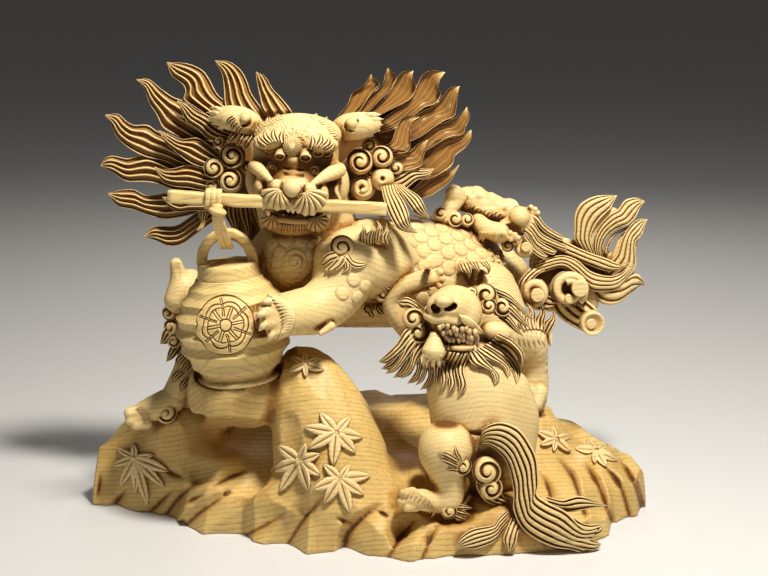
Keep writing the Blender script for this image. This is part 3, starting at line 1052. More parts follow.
a = Acc()
for i, (l, r) in enumerate(MANE_R_FRONT):
    l, r = rooted(l, r, (320, 165), 0.22)
    lock(a, l, r, [-4, -11, -9, -7, -9], n=4, high=5.6, groove=2.6, back=3.0, nt=44, keen=0.55 if i == 2 else 1.0, lo=0.10 if i == 2 else 0.4, inner=1.0 if i == 2 else 0.16, dish=0.0 if i == 2 else 0.2, dark=0.85 if i == 2 else 0.72, base=0.0 if i == 2 else 0.5)
pad(a, [(356, 148), (380, 146), (402, 154), (402, 185), (390, 202), (362, 206), (338, 200), (338, 170)], 5, 2, 2, c=0.95)
a.make("vis_mane_right_front", "mane_right_front", "lion_wood", LION)

a = Acc()
for u, v, r, tn, wy, st in ((232.6, 155.8, 12.9, 1.9, 1, 0.3), (230.6, 180.6, 12.6, 2.0, -1, 0.1), (213.9, 167.9, 10.4, 1.6, 1, 0.6), (219, 141, 6.5, 1.3, 1, 0), (212, 186, 7.0, 1.3, -1, 0.2), (247, 168, 7.5, 1.3, 1, 0.4)):
    curl(a, P(u, v, -17 if r > 8 else -13), r * 0.78, r * 0.56, tn, wy, st, deep=r * 0.27)
a.make("vis_mane_curls_left", "mane_curls_left", "lion_wood", LION)

a = Acc()
for u, v, r, tn, wy, st in ((360, 161.6, 13.4, 1.9, -1, 0.2), (381.6, 157, 11.2, 1.6, -1, 0.5), (372, 173, 7.0, 1.2, 1, 0.3), (369, 146, 7, 1.2, -1, 0.6), (396, 168, 7, 1.2, 1, 0.1)):
    curl(a, P(u, v, -20 if r > 8 else -15), r * 0.78, r * 0.56, tn, wy, st, deep=r * 0.27)
scroll(a, P(362.5, 187.5, -20), 9.6, 1.5, -1, 0.15, 2.7, 2.2, 0.30, 2.5)
curl(a, P(362.5, 187.5, -15), 10.2, 4.5, 1.9, -1, 0.15, deep=2.4)
bead(a, P(382.5, 179, -20), 9.2, 8.4)
a.make("vis_mane_curls_right", "mane_curls_right", "lion_wood", LION)

a = Acc()
lock(a, *MANE_LOCKS[1], [-24, -48, -58, -56], n=4, high=6.0, groove=2.8, back=6, nt=44, keen=0.55, dark=0.95)
lock(a, *MANE_LOCKS[0], [-26, -54, -68, -66], n=5, high=6.5, groove=3.0, back=6, nt=44, keen=0.55, dark=0.95)
a.make("vis_mane_hanging_locks", "mane_hanging_locks", "lion_wood", LION)

# ------------------------------------------------------------------ head
head = Field((-115, -104, 226), (10, 25, 336), 0.68)
head.ell(P(296, 155, -28), (33, 33, 28.5), 0)
head.ell(P(299, 134.5, -36), (32.5, 25, 15.5), 8)                   # crown
head.ell(P(269, 142, -58), (12, 9, 6.6), 5)                     # brows
head.ell(P(321, 144.5, -58), (13, 9, 6.6), 5)
head.ball(P(292.5, 158.5, -61), 5.0, 3)
head.ell(P(293, 171, -52), (16, 11, 9), 6)                      # bridge
head.ell(P(294, 190, -52), (25, 20, 14), 6)                     # muzzle
head.ell(P(260, 180, -42), (11, 14, 17), 6)                     # cheeks
head.ell(P(335, 184, -42), (11, 14, 17), 6)
# eye hollows and eyes
head.ell(P(272.5, 167, -69), (9.4, 12, 8.2), 2, "-")
head.ell(P(315, 170, -69), (9.8, 12, 8.2), 2, "-")
head.ball(P(272.5, 168.3, -52.5), 6.6, 0.5)
head.ball(P(315, 171.3, -52.5), 6.6, 0.5)
head.tube([(*P(284, 168, -61), 0.9), (*P(293, 169.5, -64.2), 1.3), (*P(303, 170, -61), 0.9)], 0.6, "-")
head.tube([(*P(284, 174, -63), 0.9), (*P(293, 175.5, -65.5), 1.3), (*P(303, 176, -63), 0.9)], 0.6, "-")
# folds that run from under the eyes to the nose wings
head.tube([(*P(254.8, 166, -60), 5.0), (*P(258.5, 169.5, -65), 4.9), (*P(264.5, 175, -72), 3.7), (*P(271, 181, -79), 2.2)], 0.6)
head.tube([(*P(338.5, 170, -60), 5.8), (*P(332, 173, -65), 5.6), (*P(322.5, 178, -73), 4.0), (*P(313, 184, -80), 2.4)], 0.6)
head.ell(P(277, 197, -76), (8, 8, 6), 1.5)                      # lip under the nose wings
head.ell(P(309, 200, -76), (10, 8, 6), 1.5)
head.ball(P(276.8, 186.3, -84), 5.3, 0.6)                       # nose
head.ball(P(309.5, 190, -84), 5.4, 0.6)
head.ball(P(291.8, 188, -87), 7.2, 0.6)
head.ell(P(322, 196, -68), (5.0, 9, 11), 3)                     # upper lip beside the pads
head.ell(P(262, 187, -66), (6.0, 9, 8.5), 3)
head.tube([(*P(336, 183, -58), 2.4), (*P(336, 191, -63), 1.8), (*P(339.5, 199, -64), 1.4), (*P(341, 203, -62), 1.0)], 1.2)
# open mouth
head.ell(P(293, 212, -74), (21, 19, 6.6), 2, "-")
head_acc = head.mesh()
HEAD_BVH = head_acc.bvh()
shade(head_acc, lambda u, v, y: 0.66 * soft(v, 150, 160) * soft(y, -66.5, -62.5) * (1 - soft(np.abs(u - 295), 38, 52)) * (1 - soft(v, 232, 245)) * (1 - soft(y, -36, -20)))
a = head_acc
whorl(a, P(292.3, 146.3, -62), 7.9, 7.0, 18, 1.2, (0, -1, 0.12), deep=1.7)
for u, v, r, y0, ox in ((269, 147.8, 6.2, -65.5, 0.1), (280, 155.8, 6.0, -67.5, 0.0), (305.5, 157.2, 6.8, -67.5, 0.0), (318, 152.6, 6.2, -65.5, -0.1)):
    ring_curl(a, P(u, v, y0 + 2.4), r * 0.66, (0, -1, -0.85), (ox, 0.2))
for u, v, wy in ((272.5, 168.3, 1), (315, 171.3, -1)):
    curl(a, P(u, v, -57.6), 4.9, 2.0, 1.6, wy, 0.0, (0, -1, 0), deep=1.9, knob=0.3, nr=20, nt=40)


def tuft(acc, bvh, root, tip, wide, n=2, high=2.8, groove=1.6, bend=0.0, lift=0.4, y=-60.0, nt=18, back=2.5, keen=0.92, dark=1.0):
    """A short lock from root to tip that lies on a surface; bend bows it sideways (drawing units)."""
    r0, t0 = np.asarray(root, float), np.asarray(tip, float)
    d = t0 - r0
    s_ = np.array([-d[1], d[0]]) / (np.linalg.norm(d) + 1e-9)
    m_ = r0 + d * 0.5 + s_ * bend
    w = wide * 0.5
    lock(acc, [tuple(r0 - s_ * w), tuple(m_ - s_ * w), tuple(t0)], [tuple(m_ + s_ * w), tuple(r0 + s_ * w)], y, n=n, high=high, groove=groove,
         nt=nt, drape=[bvh] if bvh else None, lift=lift, back=back, keen=keen, dark=dark)


# crown fur: rows of low tufts that radiate from the whorl, back row first
for ring in range(5, 0, -1):
    rad = 8.0 + 5.0 * ring
    num = 6 + 2 * ring
    for k in range(num):
        an = math.radians(-168 + 156 * (k + 0.5 * (ring % 2)) / max(1, num - 0.5))
        wob = 0.10 * math.sin(k * 2.3 + ring)
        ru, rv = 295 + rad * 1.0 * math.cos(an), 147.5 + rad * 0.80 * math.sin(an)
        tu, tv = 295 + (rad + 8.4) * 1.02 * math.cos(an + wob), 147.5 + (rad + 8.4) * 0.82 * math.sin(an + wob)
        if skin([HEAD_BVH], ru, rv, None) is None or skin([HEAD_BVH], tu, tv - 2.5, None) is None or rv > 140:
            continue
        tuft(a, HEAD_BVH, (ru, rv), (tu, tv), 7.0 + 0.5 * ring, 2, 0.9, 0.5, 1.2 if (k + ring) % 2 else -0.9, -0.1, -40, 11, keen=0.6, dark=0.45)
# longer hair towards the ears
for ru, rv, tu, tv, b in ((272, 124, 266, 112, -2), (265, 127, 257, 116, -2), (262, 133, 253, 124, -2), (280, 120, 277, 110, -1.5),
                          (321, 123, 330, 113.5, 2), (327, 128, 338, 119.5, 2), (331, 134, 342, 128, 2), (313, 119, 319, 110.5, 1.5)):
    tuft(a, HEAD_BVH, (ru, rv), ((ru + 2 * tu) / 3, (rv + 2 * tv) / 3), 9.0, 3, 1.8, 1.0, b, -0.2, -40, 14, keen=0.6, dark=0.7)
# brow hair: thick swept strands over each eye, bowed outwards
for ru, rv, tu, tv, b in ((262, 149, 254, 137, -2.4), (282, 143, 283, 129, -1.4), (266, 146, 256.5, 130.5, -3.0), (276, 142, 274.5, 126.5, -2.4), (270.5, 142.5, 265, 127, -3.0),
                          (325, 157, 333.5, 150, 2.0), (311, 149, 312, 133.5, 1.4), (326, 151.5, 335.5, 141, 2.6), (316.5, 147.5, 321, 131.5, 2.4), (322, 148, 329.5, 134.5, 3.0)):
    tuft(a, HEAD_BVH, (ru, rv), (tu, tv), 7.4, 2, 5.2, 3.0, b, 1.6, -60, 22, keen=0.7, dark=1.0)
# moustache pads: shells that hang from the nose wings over the bar
fan(a, (281.0, 189.5), 60, 196, [17, 20.5, 22.5, 22, 20], 6, -89, 6.5, 2.4, -0.35, 20, 0.35, 9.0, 4.0)
fan(a, (304.0, 191.5), 122, -18, [19, 23.5, 26.5, 26, 24], 7, -89, 6.5, 2.6, 0.35, 20, 0.35, 9.0, 5.0)
# teeth along the upper lip, beside and between the pads
for u, v, y in ((263.5, 204, -74), (268, 209.5, -76), (288, 206, -82), (292.5, 207, -82), (297, 206, -82), (328, 211.5, -72), (334, 207, -68)):
    sweep(a, [(*P(u, v, y), 2.0), (*P(u + 0.3, v + 3.4, y - 0.3), 1.8), (*P(u + 0.6, v + 6.4, y), 0.5)], 8)
a.make("vis_lion_head", "lion_head", "lion_wood", LION)

jaw = Field((-100, -98, 208), (0, -10, 262), 0.6)
jaw.ell(P(294, 221, -54), (19, 18, 6.0), 0)
jaw.tube([(*P(266, 212, -54), 2.4), (*P(276, 218, -68), 2.6), (*P(293, 220.5, -74), 2.8), (*P(310, 220.5, -69), 2.6), (*P(323, 215, -55), 2.4)], 1.2)
jaw.ell(P(294, 226, -42), (20, 18, 7), 5)
jaw_acc = jaw.mesh()
JAW_BVH = jaw_acc.bvh()
a = jaw_acc
for k in range(12):
    t = k / 11.0
    u = 270 + 48 * t
    v = 214.5 + 4.2 * math.sin(math.pi * t)
    y = -61 - 12 * math.sin(math.pi * t)
    sweep(a, [(*P(u, v + 3, y), 1.9), (*P(u, v - 1.0, y), 1.7), (*P(u, v - 3.2, y), 0.8)], 8)
fan(a, (271.5, 214.0), 20, 150, [11, 14.5, 16, 15, 12], 5, -70, 4.6, 2.0, 0.3, 18, 0.35, 8.0, 2.0)
fan(a, (316.0, 216.5), -20, 175, [13, 15, 16, 15.5, 13], 8, -70, 5.0, 2.2, -0.25, 18, 0.35, 8.0, 2.0)
for k in range(5):
    t = k / 4.0
    tuft(a, JAW_BVH, (284 + 5.5 * k, 224.5), (282 + 6.5 * k, 235), 5.2, 2, 2.8, 1.8, 0.6, 0.6, -72, 14)
shade(a, lambda u, v, y: 0.52 + 0 * u)
a.make("vis_lion_lower_jaw", "lion_lower_jaw", "lion_wood", LION)

# ears
ear = Field((-130, -48, 282), (-60, 5, 338), 0.6)
ear.tube([(*P(259, 131, -20), 6.5), (*P(247, 122.5, -24), 10.0), (*P(233, 118.5, -25), 10.0), (*P(219, 116.5, -21), 7.0)], 4)
ear.ball(P(245.0, 118.3, -33.4), 4.3, 0.3)
ear.tube([(*P(245.0 + 7.2 * math.cos(q), 118.3 + 7.2 * math.sin(q), -33.4), 1.15 - 0.25 * abs(q - 1.4)) for q in (-0.7, 0.0, 0.7, 1.4, 2.1, 2.8, 3.5)], 0.4, "-")
ear_acc = ear.mesh()
EB = ear_acc.bvh()
for ru, rv, tu, tv, b in ((234, 117, 226.5, 126, 1.6), (236.5, 122, 231, 131, 1.4), (241, 127, 237, 135.5, 1.2)):
    tuft(ear_acc, EB, (ru, rv), (tu, tv), 5.4, 2, 3.4, 2.2, b, 0.8, -32, 16)
for k, (tu, tv) in enumerate(((209.5, 107.5), (206, 112.5), (206.5, 118.5), (210.5, 124), (217, 128.5))):
    ru, rv = 222.5 + 0.9 * k, 110.5 + 3.6 * k
    lock(ear_acc, [(ru, rv - 2.4), ((ru + tu) / 2, (rv + tv) / 2 - 3.0), (tu, tv)], [((ru + tu) / 2 + 0.6, (rv + tv) / 2 + 2.8), (ru + 1, rv + 2.4)],
         [-27, -27, -22], n=1, high=3.4, groove=1.2, nt=18, per=6, back=4)
for l, r in (([(243, 131), (238, 138), (236, 146)], [(241, 145), (248, 134)]), ([(250, 133), (245, 141), (243, 149)], [(248, 148), (255, 137)]), ([(236, 129), (230, 135), (226, 142)], [(232, 142), (241, 132)])):
    lock(ear_acc, l, r, [-26, -30, -26], n=2, high=3.4, groove=2.0, nt=20, back=4)
ear_acc.make("vis_lion_ear_left", "lion_ear_left", "lion_wood", LION)

ear = Field((-37, -48, 282), (42, 5, 338), 0.6)
ear.tube([(*P(336, 131, -19), 6.5), (*P(347, 127.5, -24), 10.2), (*P(360, 125.5, -25), 10.4), (*P(371, 123.5, -22), 8.0)], 4)
ear.ball(P(351.6, 123.6, -33.8), 4.5, 0.3)
ear.tube([(*P(351.6 + 7.2 * math.cos(q), 123.8 + 7.2 * math.sin(q), -33.8), 1.15 - 0.25 * abs(q - 1.4)) for q in (-0.7, 0.0, 0.7, 1.4, 2.1, 2.8, 3.5)], 0.4, "-")
ear_acc = ear.mesh()
for k, (tu, tv) in enumerate(((381.5, 114.5), (384, 119), (383.5, 125), (380.5, 131), (374.5, 136))):
    ru, rv = 367.5 - 0.9 * k, 115.2 + 4.3 * k
    lock(ear_acc, [(ru, rv + 2.4), ((ru + tu) / 2, (rv + tv) / 2 + 3.0), (tu, tv)], [((ru + tu) / 2 - 0.6, (rv + tv) / 2 - 2.8), (ru - 1, rv - 2.4)],
         [-28, -28, -23], n=1, high=3.4, groove=1.2, nt=18, per=6, back=4)
ear_acc.make("vis_lion_ear_right", "lion_ear_right", "lion_wood", LION)

# ------------------------------------------------------------------ surface dressing
def near(bvh, p):
    q, n, _, _ = bvh.find_nearest(Vector(p))
    return np.array(q), np.array(n)


def on(bvh, u, v, out=0.0, y=0.0):
    """Point on a surface under the drawing point, lifted towards the viewer."""
    return np.array(P(u, v, skin([bvh], u, v, y) - out))


def plate(acc, bvh, p, n, a, b, ang=0.0, high=1.3, tilt=0.0, lip=0.5, nr=6, nt=20):
    """One raised scale that follows the surface."""
    x, yv, n = frame_of(n)
    co, si = math.cos(ang), math.sin(ang)
    x, yv = x * co + yv * si, -x * si + yv * co
    rho = np.linspace(0.15, 1.0, nr)[:, None]
    th = (np.arange(nt) / nt * 2 * np.pi)[None, :]
    flat = p + (rho * a * np.cos(th))[..., None] * x + (rho * b * np.sin(th))[..., None] * yv
    surf = np.array([near(bvh, q)[0] for q in flat.reshape(-1, 3)]).reshape(nr, nt, 3)
    z = high * np.sqrt(np.clip(1 - rho ** 3.0, 0, 1)) - lip * rho ** 6 + tilt * rho * np.cos(th)
    acc.polar(surf + z[..., None] * n, near(bvh, p)[0] + n * high, (rho ** 8) * np.ones_like(th), 0.0, surf[-1] - n * 1.6)


def coat(acc, bvh, rings, rows, size, skip=None, high=1.2):
    """Rows of scales round a limb; rings: (centre, radius) stations of its axis."""
    ax = spline([r for r in rings], rows)
    t = np.gradient(ax, axis=0)
    for i in range(rows):
        d = t[i] / np.linalg.norm(t[i])
        e1 = np.cross(d, [0, 1.0, 0])
        e1 /= np.linalg.norm(e1)
        e2 = np.cross(d, e1)
        probe = np.array([bvh.ray_cast(Vector(ax[i]), Vector(e1))[3] or 30.0, bvh.ray_cast(Vector(ax[i]), Vector(-e1))[3] or 30.0])
        num = max(6, int(2 * np.pi * probe.mean() / size))
        for k in range(num):
            an = 2 * np.pi * (k + 0.5 * (i % 2)) / num
            o = e1 * math.cos(an) + e2 * math.sin(an)
            hit = bvh.ray_cast(Vector(ax[i]), Vector(o))
            if hit[0] is None:
                continue
            p, n = np.array(hit[0]), np.array(hit[1])
            n = n if n @ o > 0 else -n
            if skip is not None and skip(p, n):
                continue
            x, yv, _ = frame_of(n)
            dd = d - n * (d @ n)
            ang = math.atan2(dd @ yv, dd @ x)
            plate(acc, bvh, p, n, size * 0.56, size * 0.53, ang, high, -0.35, 0.5)


def fringe(acc, bvh, arc, away, long, n, wide=3.2, high=2.2, lift=0.6, bend=0.0, count=2):
    """Short tufts set side by side along an arc (drawing points); away: drawing direction of the tips."""
    a = spline(arc, n)
    for i in range(n):
        c = a[i]
        d = np.asarray(away(i / max(1, n - 1)), float)
        d = d / np.linalg.norm(d)
        s = np.array([-d[1], d[0]])
        w = wide * 0.5
        m1 = c + d * long * 0.5 + s * bend
        tip = c + d * long + s * bend * 0.3
        lock(acc, [tuple(c - s * w), tuple(m1 - s * w * 0.8), tuple(tip)], [tuple(m1 + s * w * 0.8), tuple(c + s * w)], -80,
             n=count, high=high, groove=high * 0.45, nt=14, per=6, drape=[bvh] if bvh else None, lift=lift, crown=0.5, keen=0.6, dark=0.5)


def claw(acc, bvh, u, v, du, dv, r=2.6, long=7.0, y=-95):
    p = on(bvh, u, v, 0.5, y)
    q = np.array(P(u + du, v + dv, p[1] - 1.5))
    e = np.array(P(u + 1.6 * du, v + 1.6 * dv + 1.5, p[1] + 1.5))
    sweep(acc, [(*p, r), (*q, r * 0.75), (*e, 0.4)], 10)


# ------------------------------------------------------------------ lion's body: dressing
a = torso_acc
coat(a, TORSO_BVH, [(-30, 10, 188), (10, 20, 190), (50, 32, 188), (76, 42, 184)], 13, 12.8,
     skip=lambda p, n: n[2] < -0.55 or (n[1] < 0 and p[2] < 166 and p[0] > 50) or p[0] > 96)
plate(a, TORSO_BVH, on(TORSO_BVH, 432, 262), (0.1, -0.9, 0.4), 7, 6.5)
# engraved-looking chest spiral and chest scales
curl(a, on(TORSO_BVH, 295, 261, -0.8), 9.5, 1.7, 2.0, 1, 0.1, (0, -1, 0.1), deep=1.1)
for u, v in ((272, 243), (286, 240), (302, 240), (314, 243), (279, 252), (311, 254), (276, 262), (318, 250)):
    p = on(TORSO_BVH, u, v)
    plate(a, TORSO_BVH, p, near(TORSO_BVH, p)[1], 6.5, 5.5, 1.2, 1.1)
# short tufts that hang over the hollow in front of the left thigh
for l, r in (([(459, 264), (461, 270), (467, 274.5), (469, 279)], [(471.5, 273), (471, 267), (468, 262)]),
             ([(468, 262), (472, 267), (476, 270.5), (476, 277)], [(480, 270), (479, 265), (477, 261)]),
             ([(479, 262), (483, 266), (487, 269), (488, 275)], [(491, 269), (490, 265), (487, 261)])):
    lock(a, l, r, [-12, -16, -18, -16], n=3, high=4.2, groove=1.8, nt=26, back=5, keen=0.6, dark=0.9)
pad(a, [(462, 272), (474, 268), (487, 272), (489, 283), (478, 291), (462, 290)], -7, 0.5, 4, c=0.95)
a.make("vis_lion_torso", "lion_torso", "lion_wood", LION)
neck_acc.make("vis_lion_neck", "lion_neck", "lion_wood", LION)

a = fore_acc
for u, v in ((353.8, 280.2), (365.2, 286.4), (342.5, 293.6), (357.5, 297.2)):
    p = on(FORE_BVH, u, v)
    plate(a, FORE_BVH, p, near(FORE_BVH, p)[1], 6.5, 5.5, -0.5, 1.3)
curl(a, on(FORE_BVH, 341.8, 247.5, -0.4), 9.6, 4.2, 2.1, 1, 0.3, (0, -1, 0.25), deep=1.7)
for l, r, n in (([(333, 251), (325, 254), (319, 264)], [(325, 266), (332, 262), (341, 259)], 2),
                ([(338, 256), (331, 264), (325, 270), (331, 271)], [(339, 269), (345, 263), (347, 256)], 2),
                ([(349, 252), (353, 259), (360, 262), (369, 262)], [(364, 267), (354, 268), (345, 260)], 2),
                ([(346, 258), (351, 265), (350, 271), (341, 274)], [(345, 267), (344, 262), (340, 257)], 2)):
    lock(a, l, r, -60, n=n, high=3.6, groove=1.5, nt=22, drape=[FORE_BVH], lift=0.5, keen=0.55, dark=0.8)
# shoulder tuft: two flames that point up
for l, r in (([(360, 243), (359, 235), (362, 229), (361, 221.5)], [(366, 229), (367, 236), (368, 244)]),
             ([(365, 244), (365.5, 235), (370, 230), (371.5, 223)], [(375, 231), (374, 238), (374, 244)]),
             ([(373, 242), (374, 233), (378, 227), (376.5, 220)], [(382.5, 227), (382, 235), (381, 243)]),
             ([(378, 242), (380, 234), (385, 230), (386.5, 222.5)], [(390, 231), (389.5, 239), (393.5, 245)])):
    lock(a, l, r, [-58, -62, -64, -61], n=3, high=4.2, groove=2.0, nt=24, back=4, keen=0.55, dark=0.9)
# elbow curls
for u, v, r, w_ in ((383, 294, 8.5, 1), (368, 307, 7.0, -1), (379, 307, 5.5, 1)):
    curl(a, on(FORE_BVH, u, v, -1, -30), r * 0.78, r * 0.5, 1.4, w_, 0.2, (0.3, -1, 0), deep=r * 0.25)
for tip, r0, b_ in (((391, 303), (384, 300), 1.5), ((385, 314), (378, 308), 1.5), ((375, 318), (370, 311), 1.2), ((392, 293), (387, 288), -1)):
    tuft(a, FORE_BVH, r0, tip, 6, 2, 3.0, 1.8, b_, 0.6, -40, 14)
# wrist fringe and claws
for k in range(14):
    t = k / 13.0
    c = np.array([273 + 9 * t + 9 * math.sin(math.pi * t), 297 + 41 * t])
    d = np.array([-1.0, (t - 0.42) * 1.1])
    d /= np.linalg.norm(d)
    tuft(a, FORE_BVH, c - d * 8, c + d * 6.0, 4.6, 1, 5.4, 1.0, 1.4, 1.1, -90, 14)
for u, v, du, dv in ((267, 301, -6, 1), (261, 313, -6, 2), (263, 323, -5, 4), (270, 332, -4, 5)):
    claw(a, FORE_BVH, u + 4, v, du, dv, 3.0)
a.make("vis_lion_foreleg_left", "lion_foreleg_left", "lion_wood", LION)
fore_r_acc.make("vis_lion_foreleg_right", "lion_foreleg_right", "lion_wood", LION)

a = hind_acc
for k in range(9):
    u = 513 + 4.6 * k
    tuft(a, HIND_BVH, (u, 329 + 0.3 * k), (u - 2 + 0.9 * k * 0.5, 347 + 1.5 * math.sin(k * 1.9)), 5.4, 1, 3.4, 1.2, 1.4, 0.4, 0, 16)
for l, r in (([(522, 331), (518, 322), (520, 315), (516, 306)], [(526, 313), (527, 321), (531, 329)]),
             ([(528, 330), (526, 320), (529, 312), (527, 303)], [(535, 311), (536, 320), (538, 329)]),
             ([(535, 329), (535, 319), (540, 312), (540, 304)], [(546, 313), (545, 321), (545, 331)]),
             ([(541, 331), (544, 322), (550, 317), (553, 310)], [(556, 320), (553, 328), (548, 335)])):
    lock(a, l, r, 0, n=3, high=4.0, groove=2.0, nt=22, drape=[HIND_BVH], lift=0.8, back=4, keen=0.6, dark=0.9)
a.make("vis_lion_hindleg_left", "lion_hindleg_left", "lion_wood", LION)
hind_r_acc.make("vis_lion_hindleg_right", "lion_hindleg_right", "lion_wood", LION)

# ------------------------------------------------------------------ bar, strap, lantern
BA, BB = np.array(P(168, 196.2, -86)), np.array(P(386.5, 209.2, -80))
BD = (BB - BA) / np.linalg.norm(BB - BA)
BU = np.array([0, 0, 1.0]) - BD * BD[2]
BU /= np.linalg.norm(BU)
BF = np.cross(BD, BU)
BF = BF if BF[1] < 0 else -BF


def box_bar(acc, stations, m=28, sharp=7.0):
    """stations: (centre, half across, half deep, across dir, deep dir); rounded square section."""
    th = np.arange(m) / m * 2 * np.pi + np.pi / m
    co, si = np.cos(th), np.sin(th)
    rr = (np.abs(co) ** sharp + np.abs(si) ** sharp) ** (-1.0 / sharp)
    acc.tube(np.array([np.asarray(c) + (rr * co * hw)[:, None] * np.asarray(ad) + (rr * si * hd)[:, None] * np.asarray(dd)
                       for c, hw, hd, ad, dd in stations]))


a = Acc()
n_ = 40
st = []
for i in range(n_):
    t = i / (n_ - 1)
    w = 4.45 + 0.12 * math.sin(i * 1.7) + 0.1 * math.sin(i * 0.6)
    st.append((BA + (BB - BA) * t + BU * 0.15 * math.sin(i * 0.9), w, w + 0.1 * math.cos(i), BU, BF))
box_bar(a, st, 32, 12)
a.make("vis_mouth_bar", "mouth_bar", "lantern_wood", LANT)

a = Acc()
s0 = float((np.array(P(213, 201, -83)) - BA) @ BD)
for off in (-3.4, 0.6, 4.4):
    ring = []
    for k in range(33):
        an = 2 * math.pi * k / 32
        co, si = math.cos(an), math.sin(an)
        r = 6.3 / (abs(co) ** 5 + abs(si) ** 5) ** 0.2
        ring.append((BA + BD * (s0 + off) + BU * r * co + BF * r * si))
    box_bar(a, [(p, 2.1, 1.3, BD, (p - BA - BD * ((p - BA) @ BD)) / np.linalg.norm(p - BA - BD * ((p - BA) @ BD))) for p in ring], 12, 4)
kn = Field((-132, -112, 232), (-92, -60, 282), 0.6)
kn.ell(P(217.5, 211.5, -95), (6.8, 5.2, 3.4), 0, "+", [("y", -14)])
kn.ell(P(217.5, 206.5, -94), (4.2, 3.6, 2.2), 1.0)
kn.mesh(a)
for du, w in ((-3.3, 2.4), (2.9, 2.5)):
    pts = spline([(*P(217.5 + du * 0.7, 214, -94),), (*P(219.5 + du, 226, -90),), (*P(223.5 + du * 1.1, 238, -80),), (*P(226.6 + du, 246, -69),), (*P(227 + du, 247, -58),), (*P(224 + du, 238, -50),)], 26)
    st = []
    for i, p in enumerate(pts):
        t = pts[min(i + 1, 25)] - pts[max(i - 1, 0)]
        t /= np.linalg.norm(t)
        ad = np.array([1.0, 0, 0]) - t * t[0]
        ad /= np.linalg.norm(ad)
        st.append((p, w, 1.2, ad, np.cross(t, ad)))
    box_bar(a, st, 16, 4)
a.make("vis_strap_knot", "strap_knot", "lantern_wood", LANT)

LX = np.cross(AX, [0, -1.0, 0])
LX /= np.linalg.norm(LX)
LX = LX if LX[0] > 0 else -LX
LF = np.cross(LX, AX)
LF = LF if LF[1] < 0 else -LF
LAN_H = float(np.linalg.norm(TOP - LOW))
H0, H1 = 13.0, LAN_H - 11.0


def lan_at(r, ph, h):
    r, ph, h = np.broadcast_arrays(r, ph, h)
    return LOW + (r * np.sin(ph))[..., None] * LX + (r * np.cos(ph))[..., None] * LF + h[..., None] * AX


CREST = (225.6, 325.0)
fs = np.linspace(0, 1, 190)
ph = np.concatenate([np.linspace(-0.95, 0.78, 230, endpoint=False), np.linspace(0.78, 2 * np.pi - 0.95, 90, endpoint=False)])
RF = [0.0, 0.20, 0.40, 0.59, 0.76, 0.90, 1.0]
RV = [34.0, 41.5, 44.4, 43.2, 37.8, 30.5, 24.8]
rid = np.interp(fs, RF, RV)
seg = np.clip(np.searchsorted(RF, fs, "right") - 1, 0, 5)
fr_ = (fs - np.array(RF)[seg]) / (np.array(RF)[seg + 1] - np.array(RF)[seg])
hump = np.array([2.6, 3.6, 3.4, 2.6, 1.8, 1.2])[seg]
prof = rid + 0.5 - hump * (1 - np.abs(2 * fr_ - 1) ** 1.25) * 0.85
FF, PP = np.meshgrid(fs, ph, indexing="ij")
RR = np.repeat(prof[:, None], len(ph), 1)
RR = RR + 0.28 * np.cos(PP * 9 + np.repeat(seg[:, None], len(ph), 1) * 1.3)
pts = lan_at(RR, PP, H0 + (H1 - H0) * FF)
uu, vv = proj(pts)
du, dv = (uu - CREST[0]) / 29.0, (vv - CREST[1]) / 29.5
rr_ = np.hypot(du, dv)
tt_ = np.arctan2(dv, du) + 0.18
facing = (np.cos(PP) > 0.15)


def line(d, w):
    return np.clip(1 - np.abs(d) / w, 0, 1) ** 0.6


cut = line(rr_ - 1.0, 0.035)
sect = np.pi / 3
ta = (tt_ + sect / 2) % sect - sect / 2
petal = 0.80 * np.cos(ta * 1.35) ** 0.5
cut = np.maximum(cut, line(rr_ - petal, 0.03) * (rr_ > 0.45))
cut = np.maximum(cut, line(rr_ - petal * 0.80, 0.026) * (rr_ > 0.36))
cut = np.maximum(cut, line(np.sin(ta) * rr_ - 0.045, 0.022) * (rr_ > 0.22) * (rr_ < petal * 0.80))
cut = np.maximum(cut, line(np.sin(ta) * rr_ + 0.045, 0.022) * (rr_ > 0.22) * (rr_ < petal * 0.80))
tb = tt_ % sect - sect / 2
cut = np.maximum(cut, line(np.sin(tb) * rr_ - 0.03, 0.022) * (rr_ > 0.30) * (rr_ < 0.93))
cut = np.maximum(cut, line(np.sin(tb) * rr_ + 0.03, 0.022) * (rr_ > 0.30) * (rr_ < 0.93))
cut = np.maximum(cut, line(rr_ - 0.20, 0.03))
cut = cut * facing * (rr_ < 1.08)
flat_ = np.clip((1.04 - rr_) / 0.05, 0, 1) * facing
RR2 = RR * (1 - flat_) + (np.repeat(np.interp(fs, RF, RV)[:, None], len(ph), 1) + 0.4) * flat_ - 1.25 * cut
pts = lan_at(RR2, PP, H0 + (H1 - H0) * FF)
a = Acc()
dent = np.clip(np.repeat((np.minimum(fr_, 1 - fr_) > 0.3)[:, None], len(ph), 1) * 0.0 + cut, 0, 1)
a.tube(pts, dent)
a.make("vis_lantern_body", "lantern_body", "lantern_wood", LANT)


def turned(prof_, m=120):
    """Turned ring from (r, h) stations."""
    p = np.asarray(prof_, float)
    th = np.arange(m) / m * 2 * np.pi
    return np.stack([lan_at(r, th, h) for r, h in p])


